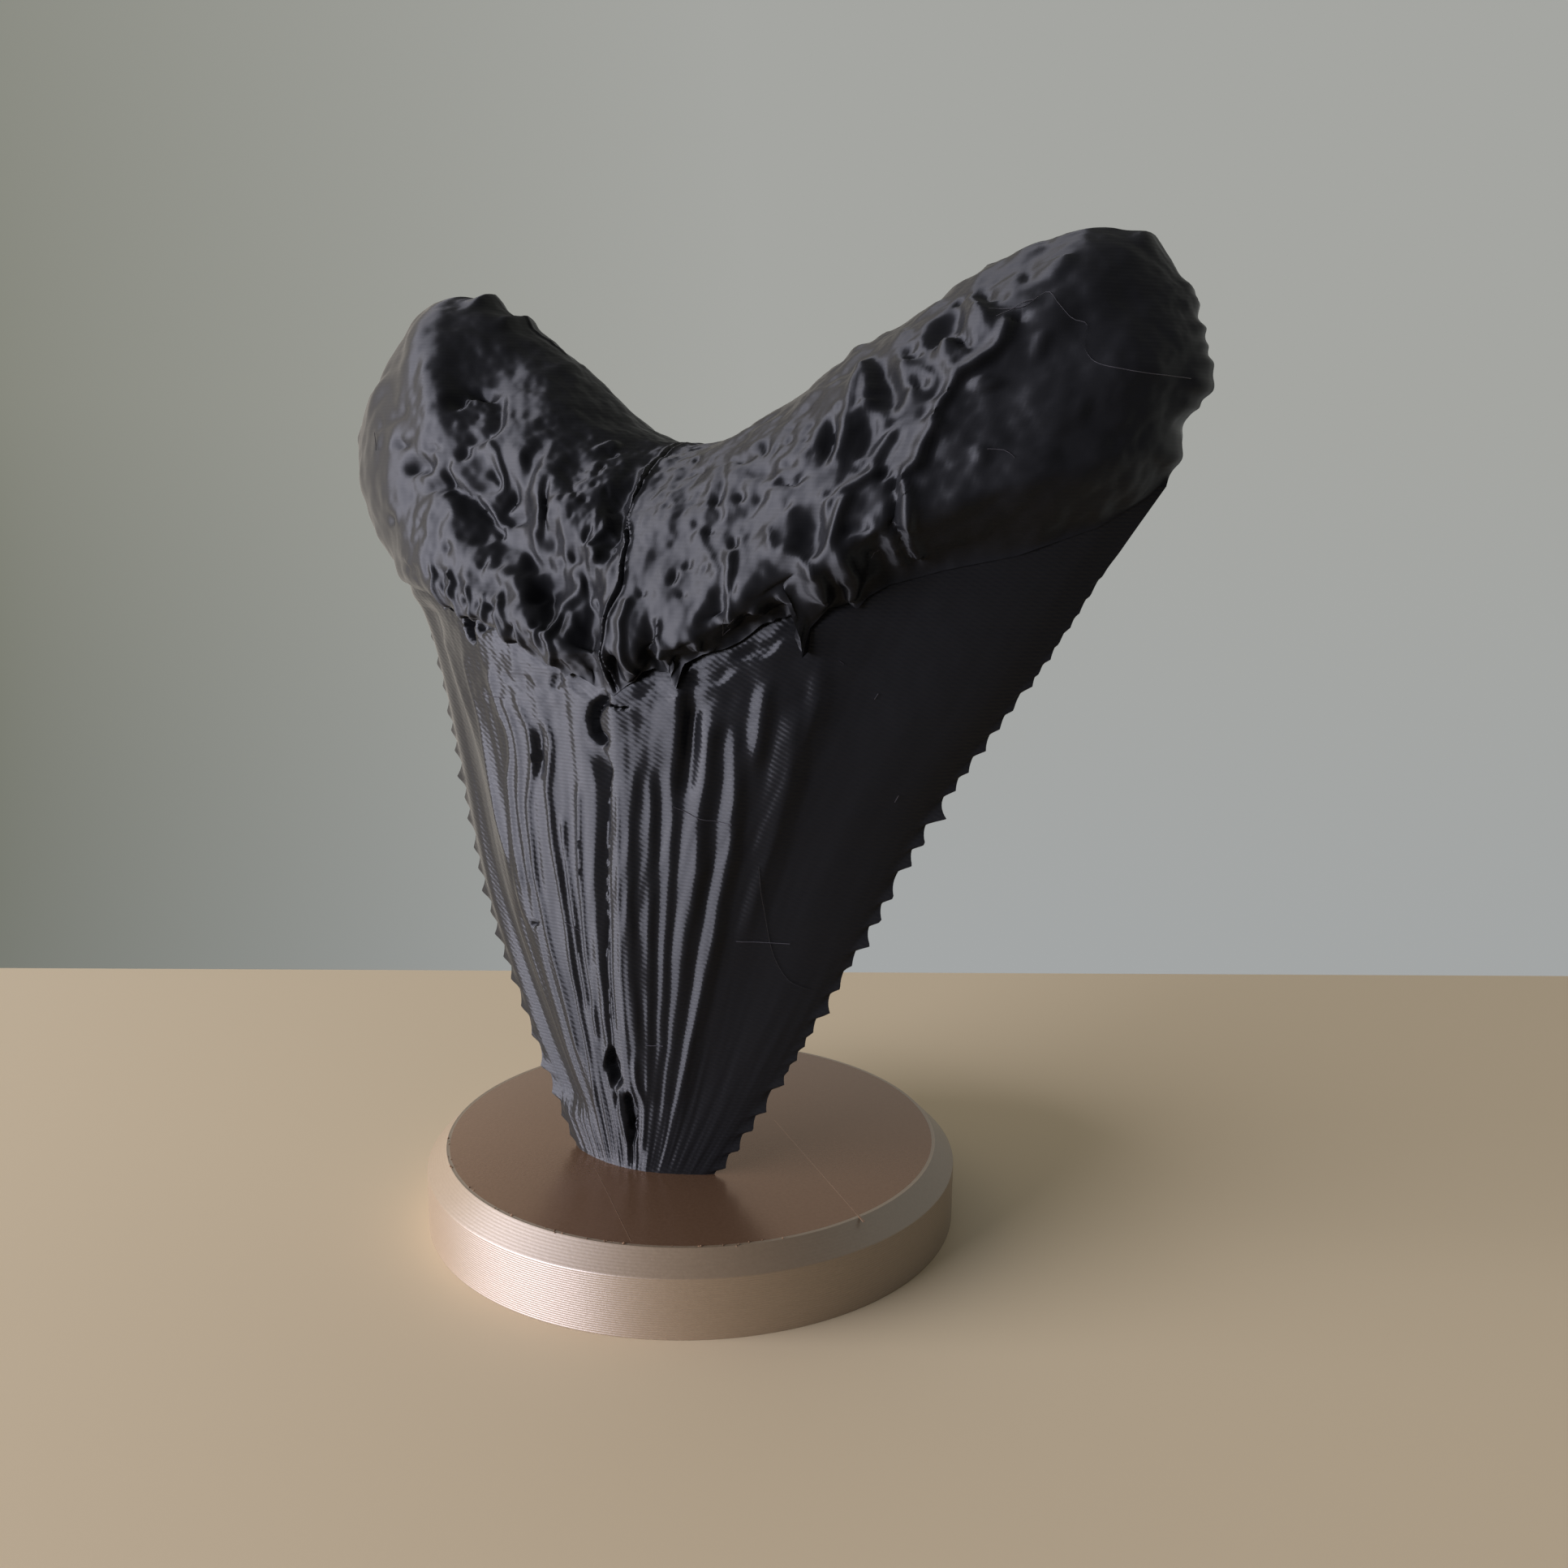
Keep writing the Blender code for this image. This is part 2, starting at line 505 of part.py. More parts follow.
def build_disc(cutter, material):
    """Turned disc with a chamfered top edge."""
    soft = CHAMFER_ROUND
    profile = [
        (0, 0),
        (DISC_RADIUS, 0),
        (DISC_RADIUS, DISC_HEIGHT - CHAMFER_DOWN),
        (DISC_RADIUS - CHAMFER_IN + soft, DISC_HEIGHT - soft),
        (DISC_RADIUS - CHAMFER_IN, DISC_HEIGHT - 0.3 * soft),
        (DISC_RADIUS - CHAMFER_IN - soft, DISC_HEIGHT),
        (0, DISC_HEIGHT),
    ]
    mesh = bmesh.new()
    verts = [mesh.verts.new((x * MM, 0, z * MM)) for x, z in profile]
    edges = [mesh.edges.new(pair) for pair in zip(verts[:-1], verts[1:])]
    bmesh.ops.spin(mesh, geom=verts + edges, cent=(0, 0, 0), axis=(0, 0, 1),
                   angle=2 * math.pi, steps=DISC_STEPS, use_merge=True)
    bmesh.ops.remove_doubles(mesh, verts=mesh.verts[:], dist=1e-6)
    bmesh.ops.recalc_face_normals(mesh, faces=mesh.faces[:])
    disc = add_object("base_disc", mesh, material)
    cut = disc.modifiers.new("socket", "BOOLEAN")
    cut.operation = "DIFFERENCE"
    cut.solver = "EXACT"
    cut.object = cutter
    return disc


def main():
    for item in list(bpy.data.objects):
        bpy.data.objects.remove(item, do_unlink=True)
    black = finish_material("black gloss plastic", (0.012, 0.011, 0.012), 0.22)
    bronze = finish_material("bronze satin plastic", (0.30, 0.19, 0.13), 0.38, 0.6)
    front, back = tooth_sheets()
    build_tooth(front, back, black)
    build_disc(socket_cutter(front, back), bronze)


main()
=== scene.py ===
"""A megalodon tooth printed in gloss black, planted in a printed bronze display disc.

The tooth is drawn in two closed pieces: the crown, which runs up inside the root,
and the root, whose ragged lower hem hangs a little over the crown. Both are grids
that run across from the left edge to the right edge, and up from the tip.
"""

import math

import bpy
import numpy as np
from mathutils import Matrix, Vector


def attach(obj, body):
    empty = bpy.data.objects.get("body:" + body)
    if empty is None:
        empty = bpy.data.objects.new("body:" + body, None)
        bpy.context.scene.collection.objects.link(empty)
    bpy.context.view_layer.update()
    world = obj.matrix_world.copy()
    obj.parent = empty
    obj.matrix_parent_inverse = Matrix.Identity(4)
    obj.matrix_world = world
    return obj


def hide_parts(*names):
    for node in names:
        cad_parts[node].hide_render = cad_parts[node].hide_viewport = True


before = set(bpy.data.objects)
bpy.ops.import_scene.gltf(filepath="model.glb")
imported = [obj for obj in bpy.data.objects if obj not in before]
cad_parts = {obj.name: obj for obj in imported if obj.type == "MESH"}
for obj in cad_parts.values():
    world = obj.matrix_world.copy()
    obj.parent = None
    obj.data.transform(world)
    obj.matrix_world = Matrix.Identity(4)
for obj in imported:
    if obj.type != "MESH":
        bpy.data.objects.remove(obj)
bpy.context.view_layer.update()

MM = 0.001  # every length below is in millimetres

# ---------------------------------------------------------------- the form

DISC_RADIUS = 25.0
DISC_HEIGHT = 7.2
CHAMFER_IN = 1.8
CHAMFER_DOWN = 1.8
EDGE_Y = -7.9  # the cutting edges, at the disc's top
LEAN = 0.18  # how far back they go for each mm of height
CUT_Z = 3.55  # the sawn-off tip, down in the socket
FRONT_CURVE = 1.1  # how full the crown's front is between its edges
BACK_CURVE = 0.9  # and its back
EDGE_FADE = 6  # forms fade out towards the edges with this power
KNOT_POWER = 0.75  # how a curve's pace follows the distance between its points

# Outlines (X, Z) as seen from the front
LEFT_EDGE = [(-6.6, CUT_Z), (-8.4, 7.2), (-10.4, 10.8), (-15.2, 19.2),
             (-20.8, 30.8), (-25.5, 44.3), (-29.4, 54.6), (-32, 59.7)]
RIGHT_EDGE = [(4.1, CUT_Z), (6.5, 7.4), (11, 15), (17.6, 27.8),
              (23.7, 40.6), (32.9, 55.2), (37.5, 63.2), (40.7, 68.4)]
GUM_LINE = [
    (-32, 59.7), (-29, 56.8), (-23, 55.7), (-17.2, 54), (-9.8, 52.6), (-0.9, 50.5), (8.1, 53.3),
    (15, 56.5), (21.9, 60.4), (30.3, 62.8), (36, 65.1), (40.7, 68.4),
]
LEFT_LOBE = [(-32, 59.7), (-34.4, 62.1), (-37.6, 67.5), (-38.4, 73), (-37.2, 77.2), (-34, 81.8)]
RIGHT_LOBE = [(40.7, 68.4), (41.1, 70.4), (41.9, 73.6), (43.1, 77.2), (42.3, 80.8), (40.9, 84)]
ROOT_TOP = [
    (-34, 81.8), (-32, 84.2), (-29, 85.6), (-24.4, 84.9), (-20.4, 82.7), (-15.2, 79.6), (-6, 73),
    (-2.8, 71.9), (1, 72), (6.6, 74.3), (14, 79.2), (22.8, 84.6), (29, 88), (34.3, 89), (38.2, 87.6),
    (40.9, 84),
]
GUM_MIDDLE = 5  # the point of GUM_LINE on the midline
TOP_MIDDLE = 7  # the point of ROOT_TOP on the midline

# The ragged lower hem of the root
HEM = [
    (-32, 59.7), (-29, 58.6), (-26, 58.4), (-24, 57.9), (-22.5, 57.9), (-20.6, 57.9), (-20, 57),
    (-19.2, 56.9), (-18.2, 56.6), (-17.3, 55.8), (-16.8, 56.6), (-15.5, 56.6), (-14, 56.4), (-12.8, 55.6),
    (-11.6, 54.4), (-10.4, 53.7), (-9.2, 53.2), (-8.3, 52.6), (-7.6, 53.4), (-7, 52.9), (-6.2, 51.8),
    (-5.4, 52.3), (-4.6, 52), (-3.2, 51.3), (-2.2, 51.3), (-1.2, 50.6), (0, 51.6), (0.8, 52), (1.4, 52.8),
    (2.2, 53), (4, 52.8), (4.5, 51.2), (5, 53.6), (6.5, 54.4), (8.5, 55), (9.6, 55.6), (10.6, 56.4),
    (12, 57.4), (13.6, 57.8), (14.3, 56.6), (14.8, 54.3), (15.2, 56.8), (16.5, 58.4), (18, 58.9),
    (18.7, 58.4), (19.4, 59.4), (21, 60.4), (22.4, 60.8), (25, 61.6), (30.3, 62.8), (36, 65.1),
    (40.7, 68.4),
]
BACK_HEM = [
    (-32, 59.7), (-26, 58), (-20.5, 56.6), (-15, 56), (-9, 53.4), (-4, 52.4), (0, 51.4), (4.5, 53),
    (9, 55), (14, 57.2), (19, 59.2), (25, 61.2), (30.3, 62.8), (36, 65.1), (40.7, 68.4),
]
HEM_REACH = 4.5  # the hem's shape is lost this far up the root
HEM_STAND = (0.35, 0.9)  # how proud of the crown it stands, least and most
HEM_WAVE = (2.2, 5)  # from least to most and back: length, seed
HEM_LOW = (16, 23, 0.65)  # between these X it sinks by this share
BACK_STAND = 0.3  # how proud it stands on the back
# The hem is turned under: (how far up, how far in from the front, and from the back)
HEM_TURN = [(0.75, 2.4, 1.6), (0.35, 1.2, 0.9), (0.08, 0.35, 0.25)]
HEM_ENDS = 0.05  # at its ends it drops by this share of that instead
TUCK = 5.0  # how far the crown runs up inside the root
TUCK_LEAST = 0.004  # and its edges, as a share of that

# How far the front stands off the cutting edges down the midline (Z, depth)
MIDRIB = [
    (CUT_Z, 1.7), (7.2, 2.3), (13, 3.6), (19, 5.2), (26, 7.2), (33, 8.7), (41, 10), (46, 11), (52, 12),
]
BACK_SHARE = 0.32  # the back bulges this much of the front
TUCK_SLIM = 0.12  # the crown grows this much slimmer up inside the root
# How far the root's front stands off them, from the left lobe (-1) to the right (1)
ROOT_SWELL = [
    (-1, 6.5), (-0.88, 7.4), (-0.75, 9), (-0.62, 11), (-0.5, 12.4), (-0.25, 14.6), (0, 15.8),
    (0.25, 15.6), (0.45, 15.2), (0.58, 14.3), (0.75, 11.8), (0.9, 9.2), (1, 8.5),
]
ROOT_THIN = 0.3  # the root is this much thinner at its top
ROOT_START = 0.24  # share of its height over which it leaves the crown
ROOT_BACK = 5.5  # how far its back stands off, in the middle
LOBE_BACK = 6.5  # and at the lobes
FRONT_RIM = 8.0  # width of the rim's rounding
BACK_RIM = 7.0

# Serrations: (Z of a point, how far it stands out)
LEFT_POINTS = [
    (8, 0.45), (9.6, 0.65), (11.5, 0.8), (13.8, 0.95), (16.5, 0.6), (19, 0.65), (21.5, 0.75),
    (23.4, 0.8), (25.4, 1), (27.4, 0.75), (29.4, 1), (31.5, 0.75), (33.4, 0.7), (36, 0.8),
    (37.9, 0.7), (40, 1), (42.4, 0.75), (44.2, 0.75), (46, 0.75), (48.5, 0.55), (50.6, 0.7),
    (53.2, 0.6),
]
RIGHT_POINTS = [
    (7.9, 0.7), (9.7, 0.85), (11.7, 0.8), (13.5, 0.85), (16.1, 0.9), (17.3, 0.5), (18.4, 0.65),
    (19.7, 0.6), (21, 0.6), (22.9, 1.1), (25.2, 0.65), (27.3, 0.5), (29.2, 1.1), (31.4, 0.95),
    (33.5, 0.9), (36.4, 0.95), (38.3, 1.05), (40.6, 1.5), (43, 0.7), (44.6, 0.7), (46.5, 0.8),
    (48.4, 0.6), (50, 0.55), (52, 0.65), (53.1, 0.4), (54.3, 0.5), (55.6, 0.3), (56.9, 0.35),
    (58.1, 0.3), (59.6, 0.25), (61.2, 0.2),
]
POINT_UNDER = 0.4  # length of a point's short side, below it
POINT_OVER = 2.1  # and of its long side, above it
POINT_ROOT = 1.2  # how far in from the edge it moves the crown
POINT_SINK = 0.25  # how far the edge lies back between points
POINT_THICK = 0.12  # how much it thickens the edge, for each mm it stands out
POINT_BODY = (0.5, 0.9)  # the thickening's place in from the edge, and half width
POINT_FADE = 16  # it fades out at the very edge with this power

# ------------------------------------------------- relief of the crown

# Fine ridges and valleys: (path from top to bottom, height, half width)
CROWN_STREAKS = [
    ([(-27.4, 57), (-22.4, 44.3), (-17.7, 30.8), (-12.4, 19.2), (-8.6, 11)], -1.1, 2.4),
    ([(-24.5, 54), (-22, 50), (-19.2, 46), (-17, 41), (-14.6, 36), (-13, 32), (-11.2, 28.5)], 0.28, 1.3),
    ([(-20, 53), (-19.4, 50), (-18, 47), (-17.2, 44), (-16.4, 41), (-15.2, 37.5),
      (-14, 34.5)], 0.16, 0.4),
    ([(-16, 52), (-15.6, 50), (-14.8, 48.2), (-13.7, 46.3), (-13.4, 44), (-13.8, 42), (-13.5, 39),
      (-12.9, 35.5), (-12, 32)], 0.2, 0.4),
    ([(-14.5, 49.4), (-13.2, 47.5), (-12.5, 45.5), (-12.3, 43), (-12.4, 40), (-11.9, 37), (-11.2, 34),
      (-10.5, 32)], 0.2, 0.4),
    ([(-12.4, 49.4), (-11, 46.8), (-10.6, 44), (-10.8, 42), (-11.1, 40), (-10.7, 37), (-10.3, 34),
      (-9.7, 31.5), (-9, 28), (-8.2, 25), (-7.2, 21), (-6.2, 17)], 0.25, 0.35),
    ([(-9, 47.8), (-8.4, 46.2), (-8.5, 44), (-8.8, 42), (-8.5, 39.5), (-8, 36), (-7.4, 33), (-6.9, 30),
      (-6.5, 26.5), (-6.1, 23), (-5.2, 18), (-4.6, 13)], 0.26, 0.35),
    ([(-9.9, 47.2), (-9.9, 42.6)], -0.6, 0.45),
    ([(-7.3, 39.5), (-6.9, 36), (-6.4, 33), (-5.9, 30), (-5.5, 26), (-5, 22)], 0.24, 0.3),
    ([(-5.4, 42.4), (-5.4, 40), (-5.3, 36), (-5, 32), (-4.8, 28), (-4.4, 24), (-4, 19)], 0.24, 0.3),
    ([(-4.1, 27), (-4.1, 24), (-3.8, 20)], 0.12, 0.3),
    ([(-1.2, 53), (-1, 46), (-0.9, 36), (-0.9, 26), (-0.6, 14)], 0.45, 2.2),
    ([(-7.5, 52), (-6.5, 46), (-6.2, 38), (-5.6, 30), (-4.8, 22)], -0.25, 1.6),
    ([(5.8, 50.5), (5.5, 47), (5, 42.5)], -0.4, 0.7),
    ([(-1.9, 44), (-1.9, 36), (-1.9, 28), (-1.9, 21)], -0.14, 0.16),
    ([(-0.9, 43), (-0.9, 34), (-0.9, 26), (-0.8, 20)], 0.08, 0.2),
    ([(-0.2, 18.5), (-0.1, 16), (0.3, 14.5), (0.3, 12), (0, 9)], 0.22, 0.35),
    ([(-2.1, 14.8), (-1.9, 12.5), (-1.3, 9.5)], 0.22, 0.35), ([(-1, 11.8), (-0.9, 7.3)], -0.3, 0.22),
    ([(-2.4, 15), (-2.3, 13)], -0.4, 0.22),
]
# Pleats, from left to right: each rises towards its right side, then falls away.
# (Z, X of its left side, X of its right side) down the crown, rise, width of the fall
CROWN_PLEATS = [
    # the slit down the midline
    ([(46.2, -4.6, -2.6), (44.3, -3.9, -1.75), (42.5, -3.5, -1.9), (40.5, -3.4, -2.15),
      (38, -3.5, -2.3), (34, -3.65, -2.35), (30.5, -3.65, -2.35), (27.5, -3.35, -2.5),
      (23.5, -3.1, -2.4), (19, -2.85, -2.35), (15.5, -2.7, -2.3)], -1.25, 0.1),
    # the neck beside it
    ([(53, 0, 4.7), (49, 0, 4.6), (46, 0.1, 4.3), (42.7, 0.2, 4)], 0.75, 0.7),
    ([(45, -2.1, 0.8), (40, -2, 0.3), (36, -2, 0.1), (28, -2, 0.1), (22, -2, 0.1),
      (18, -1.9, 0.3)], 0.33, 0.55),
    ([(45, 0.9, 2), (40, 0.8, 2.1), (36, 0.7, 1.9), (32, 0.6, 1.8), (28, 0.6, 1.6),
      (24, 0.5, 1.4), (21, 0.4, 1.1), (16, 0.35, 0.85), (11, 0.3, 0.65)], 0.33, 0.6),
    ([(45.5, 2.6, 4), (40, 2.8, 3.9), (36, 2.6, 3.6), (32, 2.3, 3.2), (28, 2.1, 2.9),
      (24, 1.8, 2.6), (20, 1.5, 2.2), (14.5, 1, 1.5), (10, 0.8, 1.15)], 0.36, 0.55),
    ([(49.4, 5.8, 7.4), (46, 5.6, 7), (44, 5.4, 6.8), (40, 4.8, 6.2), (36, 4.2, 6),
      (32, 3.8, 5.2), (28, 3.4, 4.5), (22.5, 2.9, 3.6), (17, 2.2, 2.7), (11, 1.4, 1.75)],
     0.62, 0.95),
    ([(49, 8.3, 9.1), (46, 8.2, 9.2), (42, 7.9, 9.1), (38, 7.4, 8.6), (34, 6.7, 7.8),
      (30, 5.9, 7), (26, 5.2, 6.1), (20, 4, 4.7), (15, 3.1, 3.6), (11, 2.4, 2.75)],
     0.54, 1),
    ([(53, 11, 11.8), (50, 10.4, 11.5), (48, 10, 11.2), (46, 9.5, 10.7),
      (43, 9.1, 9.8)], 0.5, 0.95),
    ([(51, 12.8, 14.3), (48, 12.1, 13.8), (44, 11.4, 13.2), (40, 10.7, 12.2),
      (36, 9.9, 11), (32, 9, 9.8), (28.6, 8, 8.8)], 0.5, 1.45),
    ([(54, 14.9, 15.7), (51, 14.6, 15.5), (48, 14, 14.8), (45, 13.3, 14.2)], 0.32, 1.15),
]
PLEAT_ENDS = (4.5, 2.2)  # heights over which a pleat fades, low end and high end
PLEAT_PAST = 0.3  # and how far past its ends the fading starts
PLEAT_SOFT = 0.13  # a pleat's corners are blurred over this width
PLEAT_WANDER = (3.5, 0.12, 33)  # pleats waver to and fro: length, how far, seed
PLEAT_TOGETHER = 0.4  # the lower, the more neighbours waver together
# Fine threads that fan out with the crown: (width, height, seed)
THREADS = [(1.5, 0.15, 31), (0.75, 0.11, 32), (0.4, 0.05, 36)]
THREAD_FAN = 18  # the crown's half width, in thread units
THREAD_STRETCH = 0.07  # thread units to a mm of height, few, so that threads run far down
THREAD_FAINT = 0.25  # how faint they are away from their middle
THREAD_MIDDLE = (-0.2, 0.4)  # its place across, from -1 to 1, and half width
NECK_GRIT = [(2.2, 0.14, 34), (1, 0.05, 35)]  # the rougher neck below the root
NECK = (44, 50)  # Z where the neck begins, and where it is full
NECK_HALF = 0.6  # its half width across
DISC_CLEAR = (-1.0, 1.5)  # relief begins between these heights over the disc's top
RELIEF_EDGE = 8  # and fades out towards the edges with this power
RELIEF_TUCK = (0.2, 0.7)  # and between these shares of the tuck
CROWN_BACK_GRIT = [(2.5, 1, 41), (1.1, 0.4, 42)]
CROWN_BACK_STRETCH = (1.0, 1.0, 0.2)  # drawn out along the crown
CROWN_BACK_ROUGH = 0.15  # height of the back's unevenness
STREAK_ENDS = 1.4  # height over which a streak rises out of the crown
STEEP_SIDE = 0.7  # a ridge's left side has this share of its half width
# Hollows (X, Z, half length, half width, turn in degrees, depth)
CROWN_HOLLOWS = [
    (-2.6, 16.9, 1.9, 0.75, 95, 1.5), (-1, 12.4, 2.4, 0.45, 92, 0.8), (-7.7, 51.2, 0.8, 0.5, 70, 0.3),
    (-10.5, 29, 0.35, 0.25, 0, 0.4), (-22, 57.2, 1.9, 0.6, -6, 1.2), (-18.5, 55.3, 1.5, 0.5, 112, 1.6),
    (-16.3, 55.6, 1, 0.5, 20, 0.8), (-12, 50.9, 2.2, 0.7, -14, 0.2), (-4.6, 50.9, 1.8, 0.6, -8, 0.2),
    (3, 51.1, 2.2, 0.6, 8, 0.2), (7, 52.6, 2.2, 0.7, 16, 0.25), (11, 54.8, 1.8, 0.6, 24, 0.25),
    (-1.8, 50, 0.25, 0.14, 0, 0.6), (-1.2, 50, 0.22, 0.14, 0, 0.6), (-0.7, 50, 0.2, 0.12, 0, 0.6),
    (-0.1, 50, 0.25, 0.12, 0, 0.6),
]
# The hooked pit above the slit
PIT_PATH = [(-2.3, 50.2), (-3.2, 49.5), (-3.6, 48.4), (-3.3, 47.2), (-2.5, 46.7)]
PIT_DEPTH = 1.2
PIT_HALF = 0.42

# -------------------------------------------------- relief of the root

# Hollows that fall away to the right and end in a steep wall, laid out as the crown's
ROOT_HOLLOWS = [
    (-20, 77.5, 7, 4, -45, 1.6), (-15, 67, 6.5, 3.2, -50, 1.8), (-7.2, 59.8, 6, 3.2, -42, 2.1),
    (-19.6, 58.7, 0.65, 0.35, 85, 0.7), (-16.7, 57.9, 0.6, 0.3, 85, 0.6),
    (-14.9, 57.5, 0.6, 0.3, 80, 0.6), (-11, 55.7, 0.6, 0.3, 75, 0.6), (-15.6, 63.2, 3.6, 1.6, -30, 1),
    (-13.6, 59.4, 3, 1.1, -24, 0.9), (-7.8, 57.6, 2.6, 1.2, -50, 1.1), (-19.6, 59.8, 2.6, 0.8, -14, 0.6),
    (-18.4, 66.4, 2.8, 1, -35, 0.9), (-12.2, 69.6, 2.4, 1, 80, 0.8), (-25.4, 60.6, 2.2, 0.5, -6, 0.5),
    (-24.4, 69.6, 2.1, 0.8, 3, 1.5), (-21.5, 67.8, 2, 0.65, 5, 1.1), (-21, 68.5, 0.6, 0.7, 0, 0.9),
    (-27.3, 71.4, 1.4, 0.4, 15, 0.8), (-23.2, 71.2, 1.3, 0.4, 3, 0.6), (-19.5, 70.7, 0.85, 0.65, 0, 0.8),
    (-21.9, 75.7, 1, 0.7, 80, 1), (-20, 76.9, 1.9, 0.65, 5, 1.1), (-17, 64.2, 1.8, 1.1, -10, 0.9),
    (-14.2, 66.9, 1.1, 0.4, 62, 0.9), (-13.7, 65.4, 1.8, 0.6, 5, 0.9), (-19.8, 62.3, 0.65, 0.35, 0, 0.5),
    (-15.1, 61.3, 0.4, 0.5, 0, 0.45), (-28.3, 64.4, 0.9, 0.4, 35, 0.5), (-23.8, 64.6, 0.45, 0.35, 0, 0.3),
    (-9.9, 66.2, 2.1, 0.45, 92, 1.2), (-8.9, 63.7, 1.7, 1.2, -10, 1.2), (-8.3, 69.6, 1.6, 1.2, -40, 0.6),
    (-10.5, 61.2, 5, 1.9, -32, 1.5), (-9.2, 59.3, 1.6, 0.7, 0, 0.5), (-11.5, 62.3, 1.8, 0.8, -30, 0.5),
    (-5.8, 62.5, 1.1, 0.8, -30, 0.6), (-3.8, 56.3, 5.2, 1.8, 97, 1.8), (-3, 66.2, 4.6, 1.3, 95, 1.5),
    (-4.9, 64.1, 0.3, 0.35, 0, 0.4), (-6, 70.5, 0.45, 0.35, 0, 0.4), (-13.2, 57.6, 0.6, 0.45, -30, 0.8),
    (-14.4, 58.2, 0.6, 0.25, -15, 0.6), (-8.35, 56.2, 0.6, 0.28, 80, 0.7),
    (-7.4, 56.15, 0.35, 0.2, 100, 0.6), (-0.7, 53.3, 1.3, 0.65, 100, 1.4), (2.5, 54.8, 2.4, 0.8, 86, 1.4),
    (3.8, 53.4, 1.8, 0.7, 0, 1), (8.4, 58.3, 2.3, 1, 60, 1.3), (11.2, 56.6, 4.6, 1.1, 12, 1.1),
    (13.6, 60, 3, 2, 50, 1.6), (15.7, 64.7, 2.2, 1.6, 95, 1.3), (7.4, 70.4, 1.4, 0.4, 5, 0.5),
    (9.8, 71.2, 0.6, 0.5, 0, 0.6), (10.5, 69.4, 1.6, 0.75, 0, 0.7), (13, 69.8, 1, 0.35, 10, 0.5),
    (13, 68.4, 1.7, 0.4, 4, 1), (9.2, 67.3, 0.6, 0.4, -60, 0.6), (10.8, 67.3, 0.9, 0.5, 0, 0.25),
    (9.2, 63.6, 0.5, 0.55, 0, 0.8), (6.7, 66.9, 0.6, 0.32, -60, 0.5), (5.5, 64.9, 0.65, 0.25, -10, 0.4),
    (6.5, 64.5, 0.3, 0.35, 0, 0.5), (5.3, 61.7, 0.4, 0.4, 0, 0.5), (7.3, 61.5, 0.4, 0.25, 10, 0.4),
    (4.3, 60.5, 0.6, 0.25, 80, 0.6), (5, 59.6, 0.55, 0.25, -30, 0.5), (3.4, 63.4, 0.2, 0.25, 0, 0.3),
    (2.4, 70.2, 0.35, 0.25, 0, 0.4), (3.6, 69.6, 0.35, 0.2, -40, 0.3), (12.3, 72.8, 0.3, 0.4, 0, 0.5),
    (12.3, 71.7, 0.35, 0.25, 0, 0.4), (13.8, 71.7, 0.35, 0.3, 0, 0.5), (14.1, 73.2, 0.4, 0.25, -35, 0.4),
    (13.8, 72.5, 0.3, 0.2, 0, 0.2), (11.1, 71.3, 0.25, 0.25, 0, 0.25), (15, 70.6, 0.4, 0.6, 0, 0.4),
    (16.2, 72, 2.2, 0.9, 95, 1.2), (13.4, 66.5, 0.4, 0.45, 0, 0.25), (1.4, 59.35, 0.5, 0.2, 0, 0.6),
    (20.1, 76.1, 2.7, 1.35, -57, 1.5), (19.3, 72, 2.1, 1.2, 90, 0.9), (19.1, 69.5, 1.1, 0.6, 0, 0.6),
    (22.9, 76.1, 1.2, 0.5, -20, 0.8), (24.7, 75.3, 0.5, 0.45, 0, 0.6), (22, 78.3, 0.85, 0.4, 0, 0.7),
    (21.3, 79, 0.7, 0.55, 0, 0.6), (24, 80.3, 2, 1.2, 70, 1.3), (24.2, 82.9, 0.55, 0.45, 0, 0.7),
    (26, 79.3, 1.5, 0.55, -45, 0.9), (26.8, 83.1, 1, 0.55, -35, 0.8), (28.3, 82.7, 0.45, 0.6, 0, 0.5),
    (22.6, 65.2, 3.6, 0.55, 95, 1.4), (21.2, 68.9, 0.45, 0.45, 0, 0.7), (22.1, 68.3, 0.9, 0.35, 90, 0.8),
    (19.6, 64.9, 1.3, 0.75, 0, 0.8), (20.8, 62.6, 2.6, 1.4, 95, 0.8), (17.2, 67.3, 0.6, 0.65, 0, 0.5),
    (18, 63.2, 0.8, 0.5, 0, 0.4), (30, 84.6, 1, 0.6, -40, 0.5), (29.9, 80.9, 0.7, 0.5, 20, 0.5),
]
HOLLOW_GROWTH = 1.12  # every hollow is drawn this much larger
HOLLOW_DEEP = 0.88  # and this much of its depth
SKEW = 0.6  # how far a hollow's deepest point lies to the right
HOLLOW_SLOPE = (0.1, 1.2)  # a hollow's slope, in shares of its size from the middle
OVAL_SLOPE = (0.55, 1.25)  # and the steeper one of plain ovals
